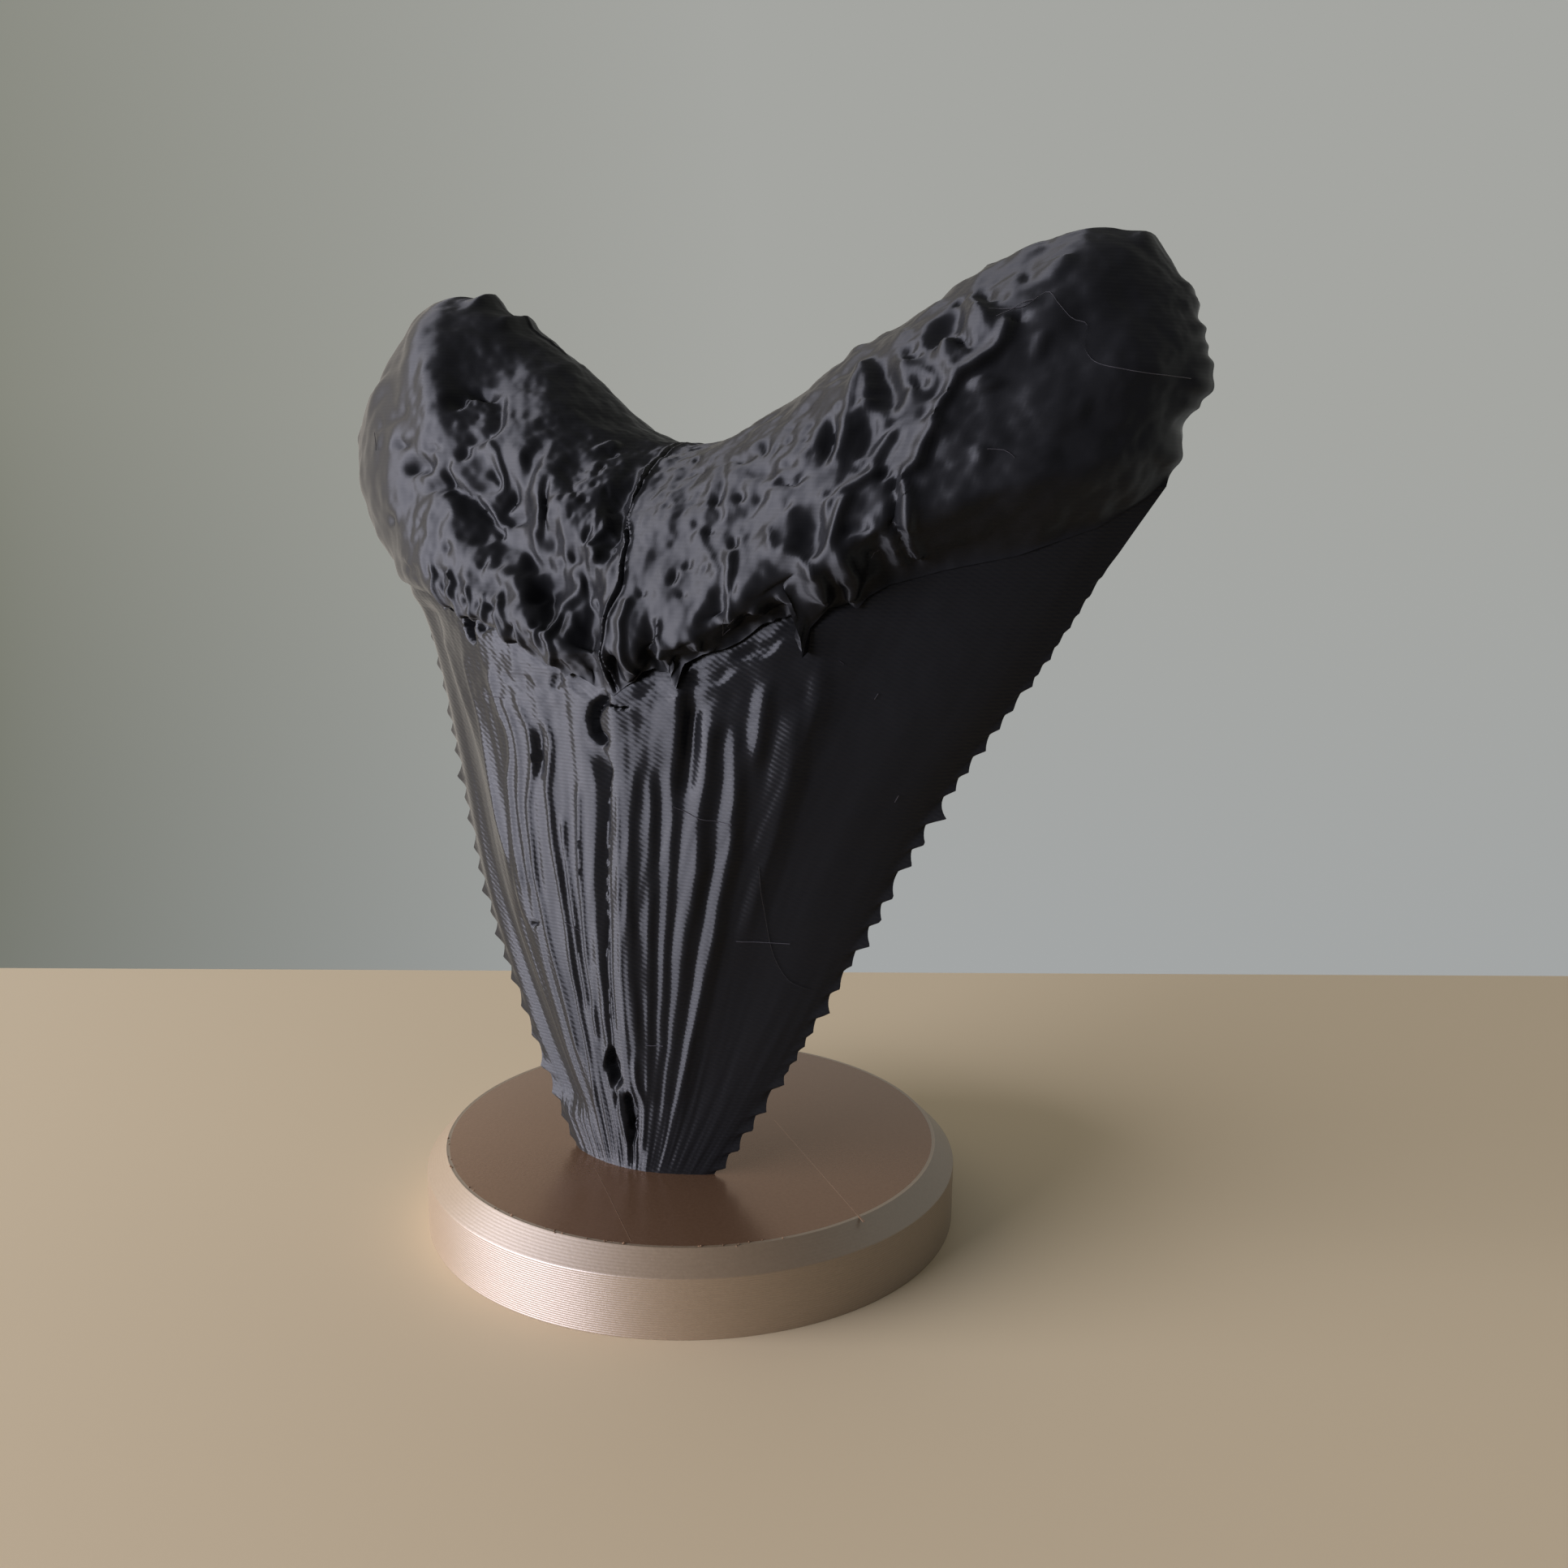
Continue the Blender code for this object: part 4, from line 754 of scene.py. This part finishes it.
def root_relief(plane, points):
    """How far the root's front rises over its plain form."""
    relief = lumps(points, ROOT_LUMPS)
    rough_plane = wander(plane, points, HOLLOW_WANDER)
    for x, z, long, wide, turn, depth in ROOT_HOLLOWS:
        grown = (long * HOLLOW_GROWTH, wide * HOLLOW_GROWTH)
        relief -= HOLLOW_DEEP * depth * dent(rough_plane, x, z, *grown, turn)
    for *place, height in ROOT_SWELLS:
        relief += height * oval(rough_plane, *place)
    fold_plane = wander(plane, points, GROOVE_WANDER)
    for path, height, half in ROOT_FOLDS:
        relief += height * fold(fold_plane, path, half)
    size, seed = SMALL_PIT
    pitted = ease(*SMALL_PIT_WALL, lump_noise(points / size, seed))
    for *place, depth in PITTED:
        relief -= depth * oval(plane, *place) * pitted
    *right, less = GRIT_RIGHT
    rough = ease(*GRIT_LEFT, plane[..., 0]) * (1 - less * ease(*right, plane[..., 0]))
    for place in CALM:
        rough *= 1 - CALM_SHARE * oval(plane, *place)
    rough = GRIT_LEAST + (1 - GRIT_LEAST) * rough
    return worn(relief) + groove_relief(fold_plane) + grit(points, ROOT_GRIT) * rough


def knob_relief(plane):
    """The knobs that break the rim."""
    relief = np.zeros(plane.shape[:-1])
    for x, z, radius, height in RIM_KNOBS:
        relief += height * bell(np.hypot(plane[..., 0] - x, plane[..., 1] - z), radius)
    return relief


def build_root():
    across = columns(ROOT_COLUMNS, middle_crowd=0.8)
    v, plane = root_plane(across, HEM)
    back_plane = root_plane(across, BACK_HEM)[1]
    inside = rim_distance(plane)
    v = v[:, None]
    rise = np.linspace(0, 1, ROOT_ROWS)[:, None]
    gum = gum_points(across)
    crown_front, crown_back = crown_depths(across, gum[len(across) // 2, 1])
    swell = np.interp(across, *traced(ROOT_SWELL, 200).T)
    round_front = rounding(inside, FRONT_RIM)
    front = swell * (1 - ROOT_THIN * v) * round_front
    back = ROOT_BACK + (LOBE_BACK - ROOT_BACK) * np.abs(across)
    back = back * rounding(inside, BACK_RIM)
    low, high = HEM_STAND
    length, seed = HEM_WAVE
    wave = 0.5 + 0.5 * lump_noise(np.stack([gum[:, 0] / length] * 3, axis=-1), seed)
    *sinking, sunk = HEM_LOW
    stand = (low + (high - low) * wave) * off_edges(across)
    stand = stand * (1 - sunk * ease(*sinking, gum[:, 0]))
    start = ease(0.0, ROOT_START, v)
    front = (crown_front + stand * round_front) * (1 - start) + front * start
    back = (crown_back + BACK_STAND * off_edges(across)) * (1 - start) + back * start

    sheet = in_space(plane, -front)
    behind = in_space(back_plane, back)
    free = RIM_CALM + (1 - RIM_CALM) * ease(0.0, RIM_WIDTH, inside)
    knobs = knob_relief(plane)
    rows, least = HEM_CALM
    calm = least + (1 - least) * ease(0.0, rows, rise)
    relief = root_relief(plane, sheet) * free * calm
    sheet += facing(sheet) * (relief + knobs)[..., None]
    ground = (lumps(behind, ROOT_LUMPS) + grit(behind, ROOT_GRIT)) * free
    ground *= (1 + BACK_GROWTH * ease(*BACK_GROWS, inside)) * ease(0.0, BACK_START, rise)
    behind -= facing(behind) * (ground + knobs)[..., None]
    for at in ((slice(None), 0), (slice(None), -1), (-1, slice(None))):
        sheet[at] = behind[at] = (sheet[at] + behind[at]) / 2

    # the hem is turned under, and closed inside the crown
    fade = off_edges(across)
    turned_under = []
    for body, inward in ((sheet, 1), (behind, -1)):
        rows = []
        for lift, *ways_in in HEM_TURN:
            row = body[0].copy()
            row[:, 2] += lift * fade - HEM_ENDS * lift * (1 - fade)
            row[:, 1] += inward * ways_in[inward < 0] * fade
            rows.append(row)
        turned_under.append(np.concatenate([np.array(rows), body]))
    sheet, behind = turned_under
    return closed_sheets(sheet, behind[:, ::BACK_STEP], joined_top=True)


# -------------------------------------------------------------- meshes

def strip(fine, coarse):
    """Faces between a fine row of corners and a coarse one beside it."""
    step = (len(fine) - 1) // (len(coarse) - 1)
    faces = []
    for k in range(len(coarse) - 1):
        corners = [*fine[k * step:(k + 1) * step + 1], coarse[k + 1], coarse[k]]
        faces.append(list(dict.fromkeys(int(c) for c in corners)))
    return faces


def quads(at, flipped=False):
    """Four-cornered faces of a grid of point numbers."""
    corners = [at[:-1, :-1], at[:-1, 1:], at[1:, 1:], at[1:, :-1]]
    if flipped:
        corners[1:] = corners[:0:-1]
    return np.stack(corners, -1).reshape(-1, 4).tolist()


def closed_sheets(front, back, joined_top):
    """Points and faces of a closed body between a front and a coarser back."""
    rows, wide, _ = front.shape
    narrow = back.shape[1]
    inner = rows - 1 if joined_top else rows
    front_at = np.arange(rows * wide).reshape(rows, wide)
    back_at = np.zeros((inner, narrow), int)
    back_at[:, [0, -1]] = front_at[:inner, [0, -1]]
    back_at[:, 1:-1] = rows * wide + np.arange(inner * (narrow - 2)).reshape(inner, -1)
    points = np.vstack([front.reshape(-1, 3), back[:inner, 1:-1].reshape(-1, 3)])
    faces = quads(front_at) + quads(back_at, flipped=True)
    faces += [face[::-1] for face in strip(front_at[0], back_at[0])]
    faces += strip(front_at[-1], back_at[-1])
    return points, faces


def add_piece(name, points, faces, material, smooth_angle=60):
    data = bpy.data.meshes.new(name)
    data.from_pydata((np.asarray(points) * MM).tolist(), [], faces)
    data.shade_smooth()
    data.set_sharp_from_angle(angle=math.radians(smooth_angle))
    data.materials.append(material)
    piece = bpy.data.objects.new(name, data)
    bpy.context.scene.collection.objects.link(piece)
    return piece


# ------------------------------------------------------------- the disc

LAYER = 0.2  # height of a printed layer
BEAD = 0.022  # how far a layer's bead bulges between its joints
STAIR = 0.008  # and how far on the chamfer's slope
# The bulge of one layer: (share of its height, share of the bulge)
WALL_BEAD = [(0.08, 0.0), (0.35, 0.85), (0.65, 0.85), (0.92, 0.0)]
SLOPE_BEAD = [(0.1, 0.0), (0.45, 1.0), (0.7, 0.9), (0.95, 0.0)]
FOOT_IN = 0.25  # the underside is this much smaller than the disc
TOP_ROUND = [(0.12, 0.02), (0.3, 0.0)]  # the top's edge: (in from the chamfer, down)
DISC_STEPS = 288


def disc_profile():
    """(radius, Z) from the centre of the underside to the centre of the top."""
    points = [(0.0, 0.0), (DISC_RADIUS - FOOT_IN, 0.0)]
    wall = DISC_HEIGHT - CHAMFER_DOWN
    for i in range(round(wall / LAYER)):
        for share, bulge in WALL_BEAD:
            points.append((DISC_RADIUS - BEAD + bulge * BEAD, (i + share) * LAYER))
    steps = round(CHAMFER_DOWN / LAYER)
    for i in range(steps):
        for share, bulge in SLOPE_BEAD:
            in_by = CHAMFER_IN * (i + share) / steps
            points.append((DISC_RADIUS - STAIR - in_by + bulge * STAIR, wall + (i + share) * LAYER))
    for in_by, down in TOP_ROUND:
        points.append((DISC_RADIUS - CHAMFER_IN - in_by, DISC_HEIGHT - down))
    return np.array([*points, (0.0, DISC_HEIGHT)])


def turned(profile, steps):
    """Points and faces of a closed turned body; its profile starts and ends on the axis."""
    ring = profile[1:-1]
    turn = np.arange(steps) / steps * 2 * math.pi
    x = ring[:, None, 0] * np.cos(turn)
    y = ring[:, None, 0] * np.sin(turn)
    z = np.repeat(ring[:, None, 1], steps, axis=1)
    points = np.stack([x, y, z], -1).reshape(-1, 3)
    at = np.arange(len(points)).reshape(len(ring), steps)
    at = np.hstack([at, at[:, :1]])
    faces = quads(at)
    low, high = len(points), len(points) + 1
    points = np.vstack([points, [[0, 0, profile[0, 1]], [0, 0, profile[-1, 1]]]])
    for k in range(steps):
        faces += [[low, at[0, k + 1], at[0, k]], [high, at[-1, k], at[-1, k + 1]]]
    return points, faces


# ------------------------------------------------------- small blemishes

# Hairs of plastic drawn across the tooth: (X, Z) points
ROOT_STRINGS = [
    [(27.9, 81.6), (30.4, 81.8), (32, 82.9), (32.9, 82), (34.1, 80.8), (35, 80.5),
     (35, 79), (35.7, 77.8), (38.4, 77), (42.4, 76.6)],
    [(28.5, 81), (29.4, 81.5), (30.2, 82.1), (31, 82.3)],
    [(29, 71), (30.3, 70.9), (31, 70.4)], [(8.6, 56.1), (9.5, 57.6)],
    [(8.6, 56.1), (10.3, 57.6)], [(20.3, 62.6), (20.5, 63), (20.9, 63.2)],
    [(-2.2, 57.1), (-1.4, 57.2)],
    [(-32, 72.6), (-31.4, 72), (-31, 70.9)],
]
CROWN_STRINGS = [
    [(10.8, 36.5), (11, 33), (11.8, 28), (13, 26), (14.6, 25.2)],
    [(8.8, 29.7), (13, 29.5)], [(4, 41.5), (6.5, 40.6), (9, 40.2)],
    [(1, 19.7), (2.5, 19.7)], [(-17, 49.3), (-14, 49.3)], [(-7, 30), (-5, 29.3)],
    [(21.2, 42.2), (21.5, 42.8)], [(19.8, 51), (20.1, 51.5)], [(17.2, 54.2), (17.6, 53.9)],
]
STRING_HALF = 0.028
STRING_LIFT = 0.07  # how far off the tooth a hair floats
STRING_STEP = 0.4
STRING_NEAR = 0.3  # it keeps off every point of the tooth this near
# Seams of the disc's top skin: (X, Y) of both ends
SEAMS = [((6.3, 5.3), (21.6, -10.6)), ((-4.0, -11.4), (5.6, -21.9))]
SEAM_HALF = 0.12
SEAM_HEIGHT = 0.009
SEAM_SINK = 0.02  # how deep it sits in the top
SEAM_PEAK = -0.8  # its peak lies towards the window
CRUMBS = 34
CRUMB_SEED = 7
CRUMB_SIZE = (0.05, 0.14)
CRUMB_STRETCH = (0.6, 1.4)
CRUMB_ARC = (-150, -40)  # along the front of the disc, in degrees
CRUMB_IN = (0.2, 0.12)  # in from the chamfer, and how far they stray


def on_surface(points, x, z):
    """The frontmost point of a body near (X, Z)."""
    far = np.hypot(points[:, 0] - x, points[:, 2] - z)
    close = points[far < max(STRING_NEAR, far.min() + 0.01)]
    return np.array([x, close[:, 1].min() - STRING_LIFT, z])


def joined(bodies):
    """One list of points and faces from several."""
    points, faces = [], []
    for some, more in bodies:
        start = len(points)
        points.extend(some)
        faces.extend([[start + corner for corner in face] for face in more])
    return points, faces


def tube(line, half):
    """A thin closed three-sided tube along a line of points."""
    ring = [(0.0, -half), (half, half), (-half, half)]
    points = [(x + a, y + b, z) if abs(line[0][2] - line[-1][2]) > abs(line[0][0] - line[-1][0])
              else (x, y + b, z + a) for x, y, z in line for a, b in ring]
    faces = [[0, 1, 2], [len(points) - 1, len(points) - 2, len(points) - 3]]
    for k in range(0, len(points) - 3, 3):
        for a, b in ((0, 1), (1, 2), (2, 0)):
            faces.append([k + b, k + a, k + a + 3, k + b + 3])
    return points, faces


def build_strings(root, crown):
    """Hairs of plastic that float just off the tooth."""
    bodies = []
    for body, strings in ((root, ROOT_STRINGS), (crown, CROWN_STRINGS)):
        for path in strings:
            length = np.linalg.norm(np.diff(path, axis=0), axis=1).sum()
            line = traced(path, max(3, round(length / STRING_STEP)))
            bodies.append(tube([on_surface(body, x, z) for x, z in line], STRING_HALF))
    return joined(bodies)


def build_marks():
    """Two faint seams across the disc's top, and crumbs along its front rim."""
    bodies = []
    for a, b in SEAMS:
        run = np.subtract(b, a)
        side = np.array([-run[1], run[0]]) / np.linalg.norm(run) * SEAM_HALF
        points = [(*(end + share * side), DISC_HEIGHT + up) for end in (a, b)
                  for share, up in ((-1, -SEAM_SINK), (1, -SEAM_SINK), (SEAM_PEAK, SEAM_HEIGHT))]
        bodies.append((points, [[0, 1, 2], [5, 4, 3], [1, 0, 3, 4], [2, 1, 4, 5], [0, 2, 5, 3]]))
    rng = np.random.default_rng(CRUMB_SEED)
    inward, stray = CRUMB_IN
    corners = np.array([(1, 0, 0), (0, 1, 0), (-1, 0, 0), (0, -1, 0), (0, 0, 1), (0, 0, -1)])
    faces = [[k, (k + 1) % 4, 4] for k in range(4)] + [[(k + 1) % 4, k, 5] for k in range(4)]
    for _ in range(CRUMBS):
        turn = math.radians(rng.uniform(*CRUMB_ARC))
        radius = DISC_RADIUS - CHAMFER_IN - inward + rng.normal(0, stray)
        size = rng.uniform(*CRUMB_SIZE)
        middle = np.array([radius * math.cos(turn), radius * math.sin(turn), DISC_HEIGHT])
        stretch = size * rng.uniform(*CRUMB_STRETCH, 3)
        bodies.append(((middle + corners * stretch).tolist(), faces))
    return joined(bodies)


# ------------------------------------------------------------ materials

def linear(colour):
    """Linear RGBA of an sRGB hex colour."""
    parts = [int(colour[i:i + 2], 16) / 255 for i in (1, 3, 5)]
    return (*(p / 12.92 if p <= 0.04045 else ((p + 0.055) / 1.055) ** 2.4 for p in parts), 1.0)


def add(tree, kind, values=None, links=None, **settings):
    """A shader node with its settings, input values and incoming links."""
    node = tree.nodes.new("ShaderNode" + kind)
    for key, value in settings.items():
        setattr(node, key, value)
    for key, value in (values or {}).items():
        node.inputs[key].default_value = value
    for key, source in (links or {}).items():
        tree.links.new(source, node.inputs[key])
    return node


def blank(name):
    material = bpy.data.materials.new(name)
    material.use_nodes = True
    material.node_tree.nodes.clear()
    return material, material.node_tree


# Radians to the metre in a wave texture of scale 1: along Z, and down the hatching's slant
WAVE_UP = 20.0
WAVE_SLANT = 11.55


def black_gloss_pla(name, roughness, anisotropic, bead_show, hatch_show):
    """Black PLA, printed in 0.2 mm layers and left unsanded: near black all the way
    through, with the wet gloss of poured plastic. The level beads smear every
    reflection up and down, so the gloss is anisotropic."""
    material, tree = blank(name)
    place = add(tree, "TexCoord").outputs["Object"]
    # beads of 0.2 mm, drawn 0.32 mm apart so that they show
    beads = add(tree, "TexWave", {"Scale": 2 * math.pi / WAVE_UP / (0.32 * MM), "Distortion": 0.0},
                {"Vector": place}, wave_type="BANDS", bands_direction="Z", wave_profile="SIN")
    # where beads end on a slope they line up in slanting rows, 0.4 mm apart
    slanted = add(tree, "Mapping", {"Scale": (0.58, 0.0, 1.0)}, {"Vector": place})
    hatch = add(tree, "TexWave", {"Scale": 2 * math.pi / WAVE_SLANT / (0.4 * MM), "Distortion": 0.6},
                {"Vector": slanted.outputs["Vector"]}, wave_type="BANDS",
                bands_direction="DIAGONAL", wave_profile="SIN")
    # ripples of 1.4 mm in the beads, and patches of 6 mm that are a little more glossy
    ripple = add(tree, "TexNoise", {"Scale": 0.7 / MM, "Detail": 2.0, "Roughness": 0.45},
                 {"Vector": place})
    patches = add(tree, "TexNoise", {"Scale": 0.16 / MM, "Detail": 3.0}, {"Vector": place})
    bump = None
    for shape, strength, deep in ((beads, bead_show, 0.04), (hatch, hatch_show, 0.04),
                                  (ripple, 0.3, 0.06)):
        links = {"Height": shape.outputs["Fac"]}
        if bump:
            links["Normal"] = bump.outputs["Normal"]
        bump = add(tree, "Bump", {"Strength": strength, "Distance": deep * MM}, links)
    up = add(tree, "CombineXYZ", {"Z": 1.0})
    gloss = add(tree, "MapRange", {"To Min": roughness - 0.03, "To Max": roughness + 0.03},
                {"Value": patches.outputs["Fac"]})
    shader = add(tree, "BsdfPrincipled",
                 {"Base Color": linear("#161617"), "IOR": 1.43, "Anisotropic": anisotropic},
                 {"Roughness": gloss.outputs["Result"], "Normal": bump.outputs["Normal"],
                  "Tangent": up.outputs["Vector"]})
    add(tree, "OutputMaterial", None, {"Surface": shader.outputs["BSDF"]})
    return material


def bronze_satin_pla(name, dark, light, metal, ior, roughness, anisotropic):
    """PLA filled with mica and metal powder, printed in 0.2 mm layers: a satin bronze.
    Where its level beads show, they stretch every highlight up and down."""
    material, tree = blank(name)
    place = add(tree, "TexCoord")
    # flecks of 0.3 mm
    fleck = add(tree, "TexNoise", {"Scale": 3.5 / MM, "Detail": 2.0},
                {"Vector": place.outputs["Object"]})
    colour = add(tree, "Mix", {"A": linear(dark), "B": linear(light)},
                 {"Factor": fleck.outputs["Fac"]}, data_type="RGBA")
    bump = add(tree, "Bump", {"Strength": 0.25, "Distance": 0.03 * MM},
               {"Height": fleck.outputs["Fac"]})
    shader = add(tree, "BsdfPrincipled",
                 {"Metallic": metal, "IOR": ior, "Roughness": roughness, "Anisotropic": anisotropic},
                 {"Base Color": colour.outputs[2], "Normal": bump.outputs["Normal"]})
    if anisotropic:
        up = add(tree, "CombineXYZ", {"Z": 1.0})
        tree.links.new(up.outputs["Vector"], shader.inputs["Tangent"])
    add(tree, "OutputMaterial", None, {"Surface": shader.outputs["BSDF"]})
    return material


def pla_hair():
    """Black PLA drawn out to a hair as the nozzle left: thin enough to look pale grey."""
    material, tree = blank("black PLA, drawn to hairs")
    shader = add(tree, "BsdfPrincipled", {"Base Color": linear("#4c494c"), "Roughness": 0.5})
    add(tree, "OutputMaterial", None, {"Surface": shader.outputs["BSDF"]})
    return material


def pale_floor():
    """Pale beech-coloured table top, matt."""
    material, tree = blank("pale table top")
    shader = add(tree, "BsdfPrincipled", {"Base Color": linear("#cebb9a"), "Roughness": 0.6})
    add(tree, "OutputMaterial", None, {"Surface": shader.outputs["BSDF"]})
    return material


# ---------------------------------------------------------- the studio

CAMERA_AT = (61.783, -121.256, 67.703)
CAMERA_TURN = (78.951, -0.728, 23.630)
CAMERA_LENS = 34.509
FLOOR_BACK = (56.7, 72.9)  # the table's far edge, behind the disc's middle, left and right
FLOOR_FRONT = 62.0  # and its near edge, towards the camera
FLOOR_LEFT = 600.0
FLOOR_RIGHT = (76.0, 124.0)  # its right edge, near and far
WINDOW_TOWARD = -41.5  # the soft light's side, in degrees from the front
WINDOW_RISE = 7.5
WINDOW_FAR = 1000.0
WINDOW_SIZE = (1050.0, 300.0)
WINDOW_AIM = (0, -8, 42)  # the point of the tooth that it faces
WINDOW_WATTS = 33.3
ROOM_BRIGHT = 1.5  # the window's side of the room, over plain white


def build_camera():
    """The view from a little above, to the right of the tooth."""
    lens = bpy.data.cameras.new("camera")
    lens.lens = CAMERA_LENS
    lens.sensor_width = 36.0
    lens.clip_start = 0.005
    camera = bpy.data.objects.new("camera", lens)
    camera.location = Vector(CAMERA_AT) * MM
    camera.rotation_euler = [math.radians(a) for a in CAMERA_TURN]
    bpy.context.scene.collection.objects.link(camera)
    bpy.context.scene.camera = camera


def build_floor(material):
    """The table top: its edges run along and across the view."""
    turn = math.radians(CAMERA_TURN[2])
    along = np.array([math.cos(turn), math.sin(turn)])
    ahead = np.array([-math.sin(turn), math.cos(turn)])
    corners = [along * side + ahead * far
               for side, far in ((-FLOOR_LEFT, -FLOOR_FRONT), (FLOOR_RIGHT[0], -FLOOR_FRONT),
                                 (FLOOR_RIGHT[1], FLOOR_BACK[1]), (-FLOOR_LEFT, FLOOR_BACK[0]))]
    floor = add_piece("table_top", [(*c, 0.0) for c in corners], [(0, 1, 2, 3)], material)


def build_window():
    """A wide soft light low on the left."""
    lamp = bpy.data.lights.new("soft window", "AREA")
    lamp.shape = "RECTANGLE"
    lamp.size, lamp.size_y = (s * MM for s in WINDOW_SIZE)
    lamp.energy = WINDOW_WATTS
    lamp.color = linear("#e7e8fb")[:3]
    turn, rise = math.radians(WINDOW_TOWARD), math.radians(WINDOW_RISE)
    toward = Vector((math.sin(turn) * math.cos(rise), -math.cos(turn) * math.cos(rise), math.sin(rise)))
    item = bpy.data.objects.new("soft window", lamp)
    item.location = (Vector(WINDOW_AIM) + toward * WINDOW_FAR) * MM
    item.rotation_euler = toward.to_track_quat("Z", "Y").to_euler()
    item.visible_camera = False
    bpy.context.scene.collection.objects.link(item)


def build_room():
    """A pale wall behind the table, a bright one at the window's side, and a dim room."""
    world = bpy.data.worlds.new("room")
    bpy.context.scene.world = world
    world.use_nodes = True
    tree = world.node_tree
    tree.nodes.clear()
    place = add(tree, "TexCoord")
    way = add(tree, "SeparateXYZ", None, {"Vector": place.outputs["Generated"]})
    # how far a ray goes to the right, up, to the back, to the ceiling, and to the window's side
    side, height, behind, ceiling, beside = (
        add(tree, "MapRange", {"From Min": low, "From Max": high},
            {"Value": way.outputs[axis]}, interpolation_type=kind).outputs["Result"]
        for axis, low, high, kind in (("X", -0.78, -0.42, "LINEAR"), ("Z", -0.36, 0.05, "LINEAR"),
                                      ("Y", -0.1, 0.45, "SMOOTHSTEP"), ("Z", 0.3, 0.8, "SMOOTHSTEP"),
                                      ("X", -0.4, -0.85, "SMOOTHSTEP")))
    fade = add(tree, "Math", {1: 0.65}, {0: side}, operation="POWER")
    left, right, dim = (
        add(tree, "Mix", {"A": linear(low), "B": linear(high)}, {"Factor": share},
            data_type="RGBA").outputs[2]
        for low, high, share in (("#66695e", "#838479", height), ("#a3a6a7", "#a5a6a2", height),
                                 ("#444446", "#606062", ceiling)))
    wall = add(tree, "Mix", None, {"Factor": fade.outputs["Value"], "A": left, "B": right},
               data_type="RGBA").outputs[2]
    back = add(tree, "Mix", None, {"Factor": behind, "A": dim, "B": wall}, data_type="RGBA").outputs[2]
    bright = [ROOM_BRIGHT * c for c in linear("#dcd4c8")[:3]]
    room = add(tree, "Mix", {"B": (*bright, 1.0)}, {"Factor": beside, "A": back},
               data_type="RGBA").outputs[2]
    # the camera sees the wall alone
    ray = add(tree, "LightPath").outputs["Is Camera Ray"]
    seen = add(tree, "Mix", None, {"Factor": ray, "A": room, "B": wall}, data_type="RGBA").outputs[2]
    light = add(tree, "Background", None, {"Color": seen})
    add(tree, "OutputWorld", None, {"Surface": light.outputs["Background"]})


def main():
    build_camera()
    build_room()
    build_window()
    build_floor(pale_floor())
    smooth_black = black_gloss_pla("black gloss PLA, smooth enamel", 0.46, 1.0, 0.5, 0.28)
    rough_black = black_gloss_pla("black gloss PLA, rough root", 0.58, 0.88, 0.2, 0.0)
    beads = bronze_satin_pla("bronze satin PLA, printed wall", "#796347", "#897357",
                             0.25, 2.75, 0.44, 0.45)
    skin = bronze_satin_pla("bronze satin PLA, top skin", "#7d5d44", "#8d6d54", 0.55, 1.7, 0.27, 0.0)
    crown_body, root_body = build_crown(), build_root()
    crown = add_piece("tooth_crown", *crown_body, smooth_black)
    root = add_piece("tooth_root", *root_body, rough_black)
    strings = add_piece("tooth_strings", *build_strings(root_body[0], crown_body[0]), pla_hair())
    marks = add_piece("disc_marks", *build_marks(), skin, smooth_angle=20)
    disc = add_piece("display_disc", *turned(disc_profile(), DISC_STEPS), beads, smooth_angle=30)
    disc.data.materials.append(skin)  # for the flat top
    for face in disc.data.polygons:
        if face.normal.z > 0.999 and face.center.z > (DISC_HEIGHT - 0.01) * MM:
            face.material_index = 1
    for piece in (crown, root, strings):
        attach(piece, "root")
        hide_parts("tooth")
    for piece in (disc, marks):
        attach(piece, "root")
        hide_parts("base_disc")
    bpy.context.scene.view_settings.view_transform = "Standard"


main()
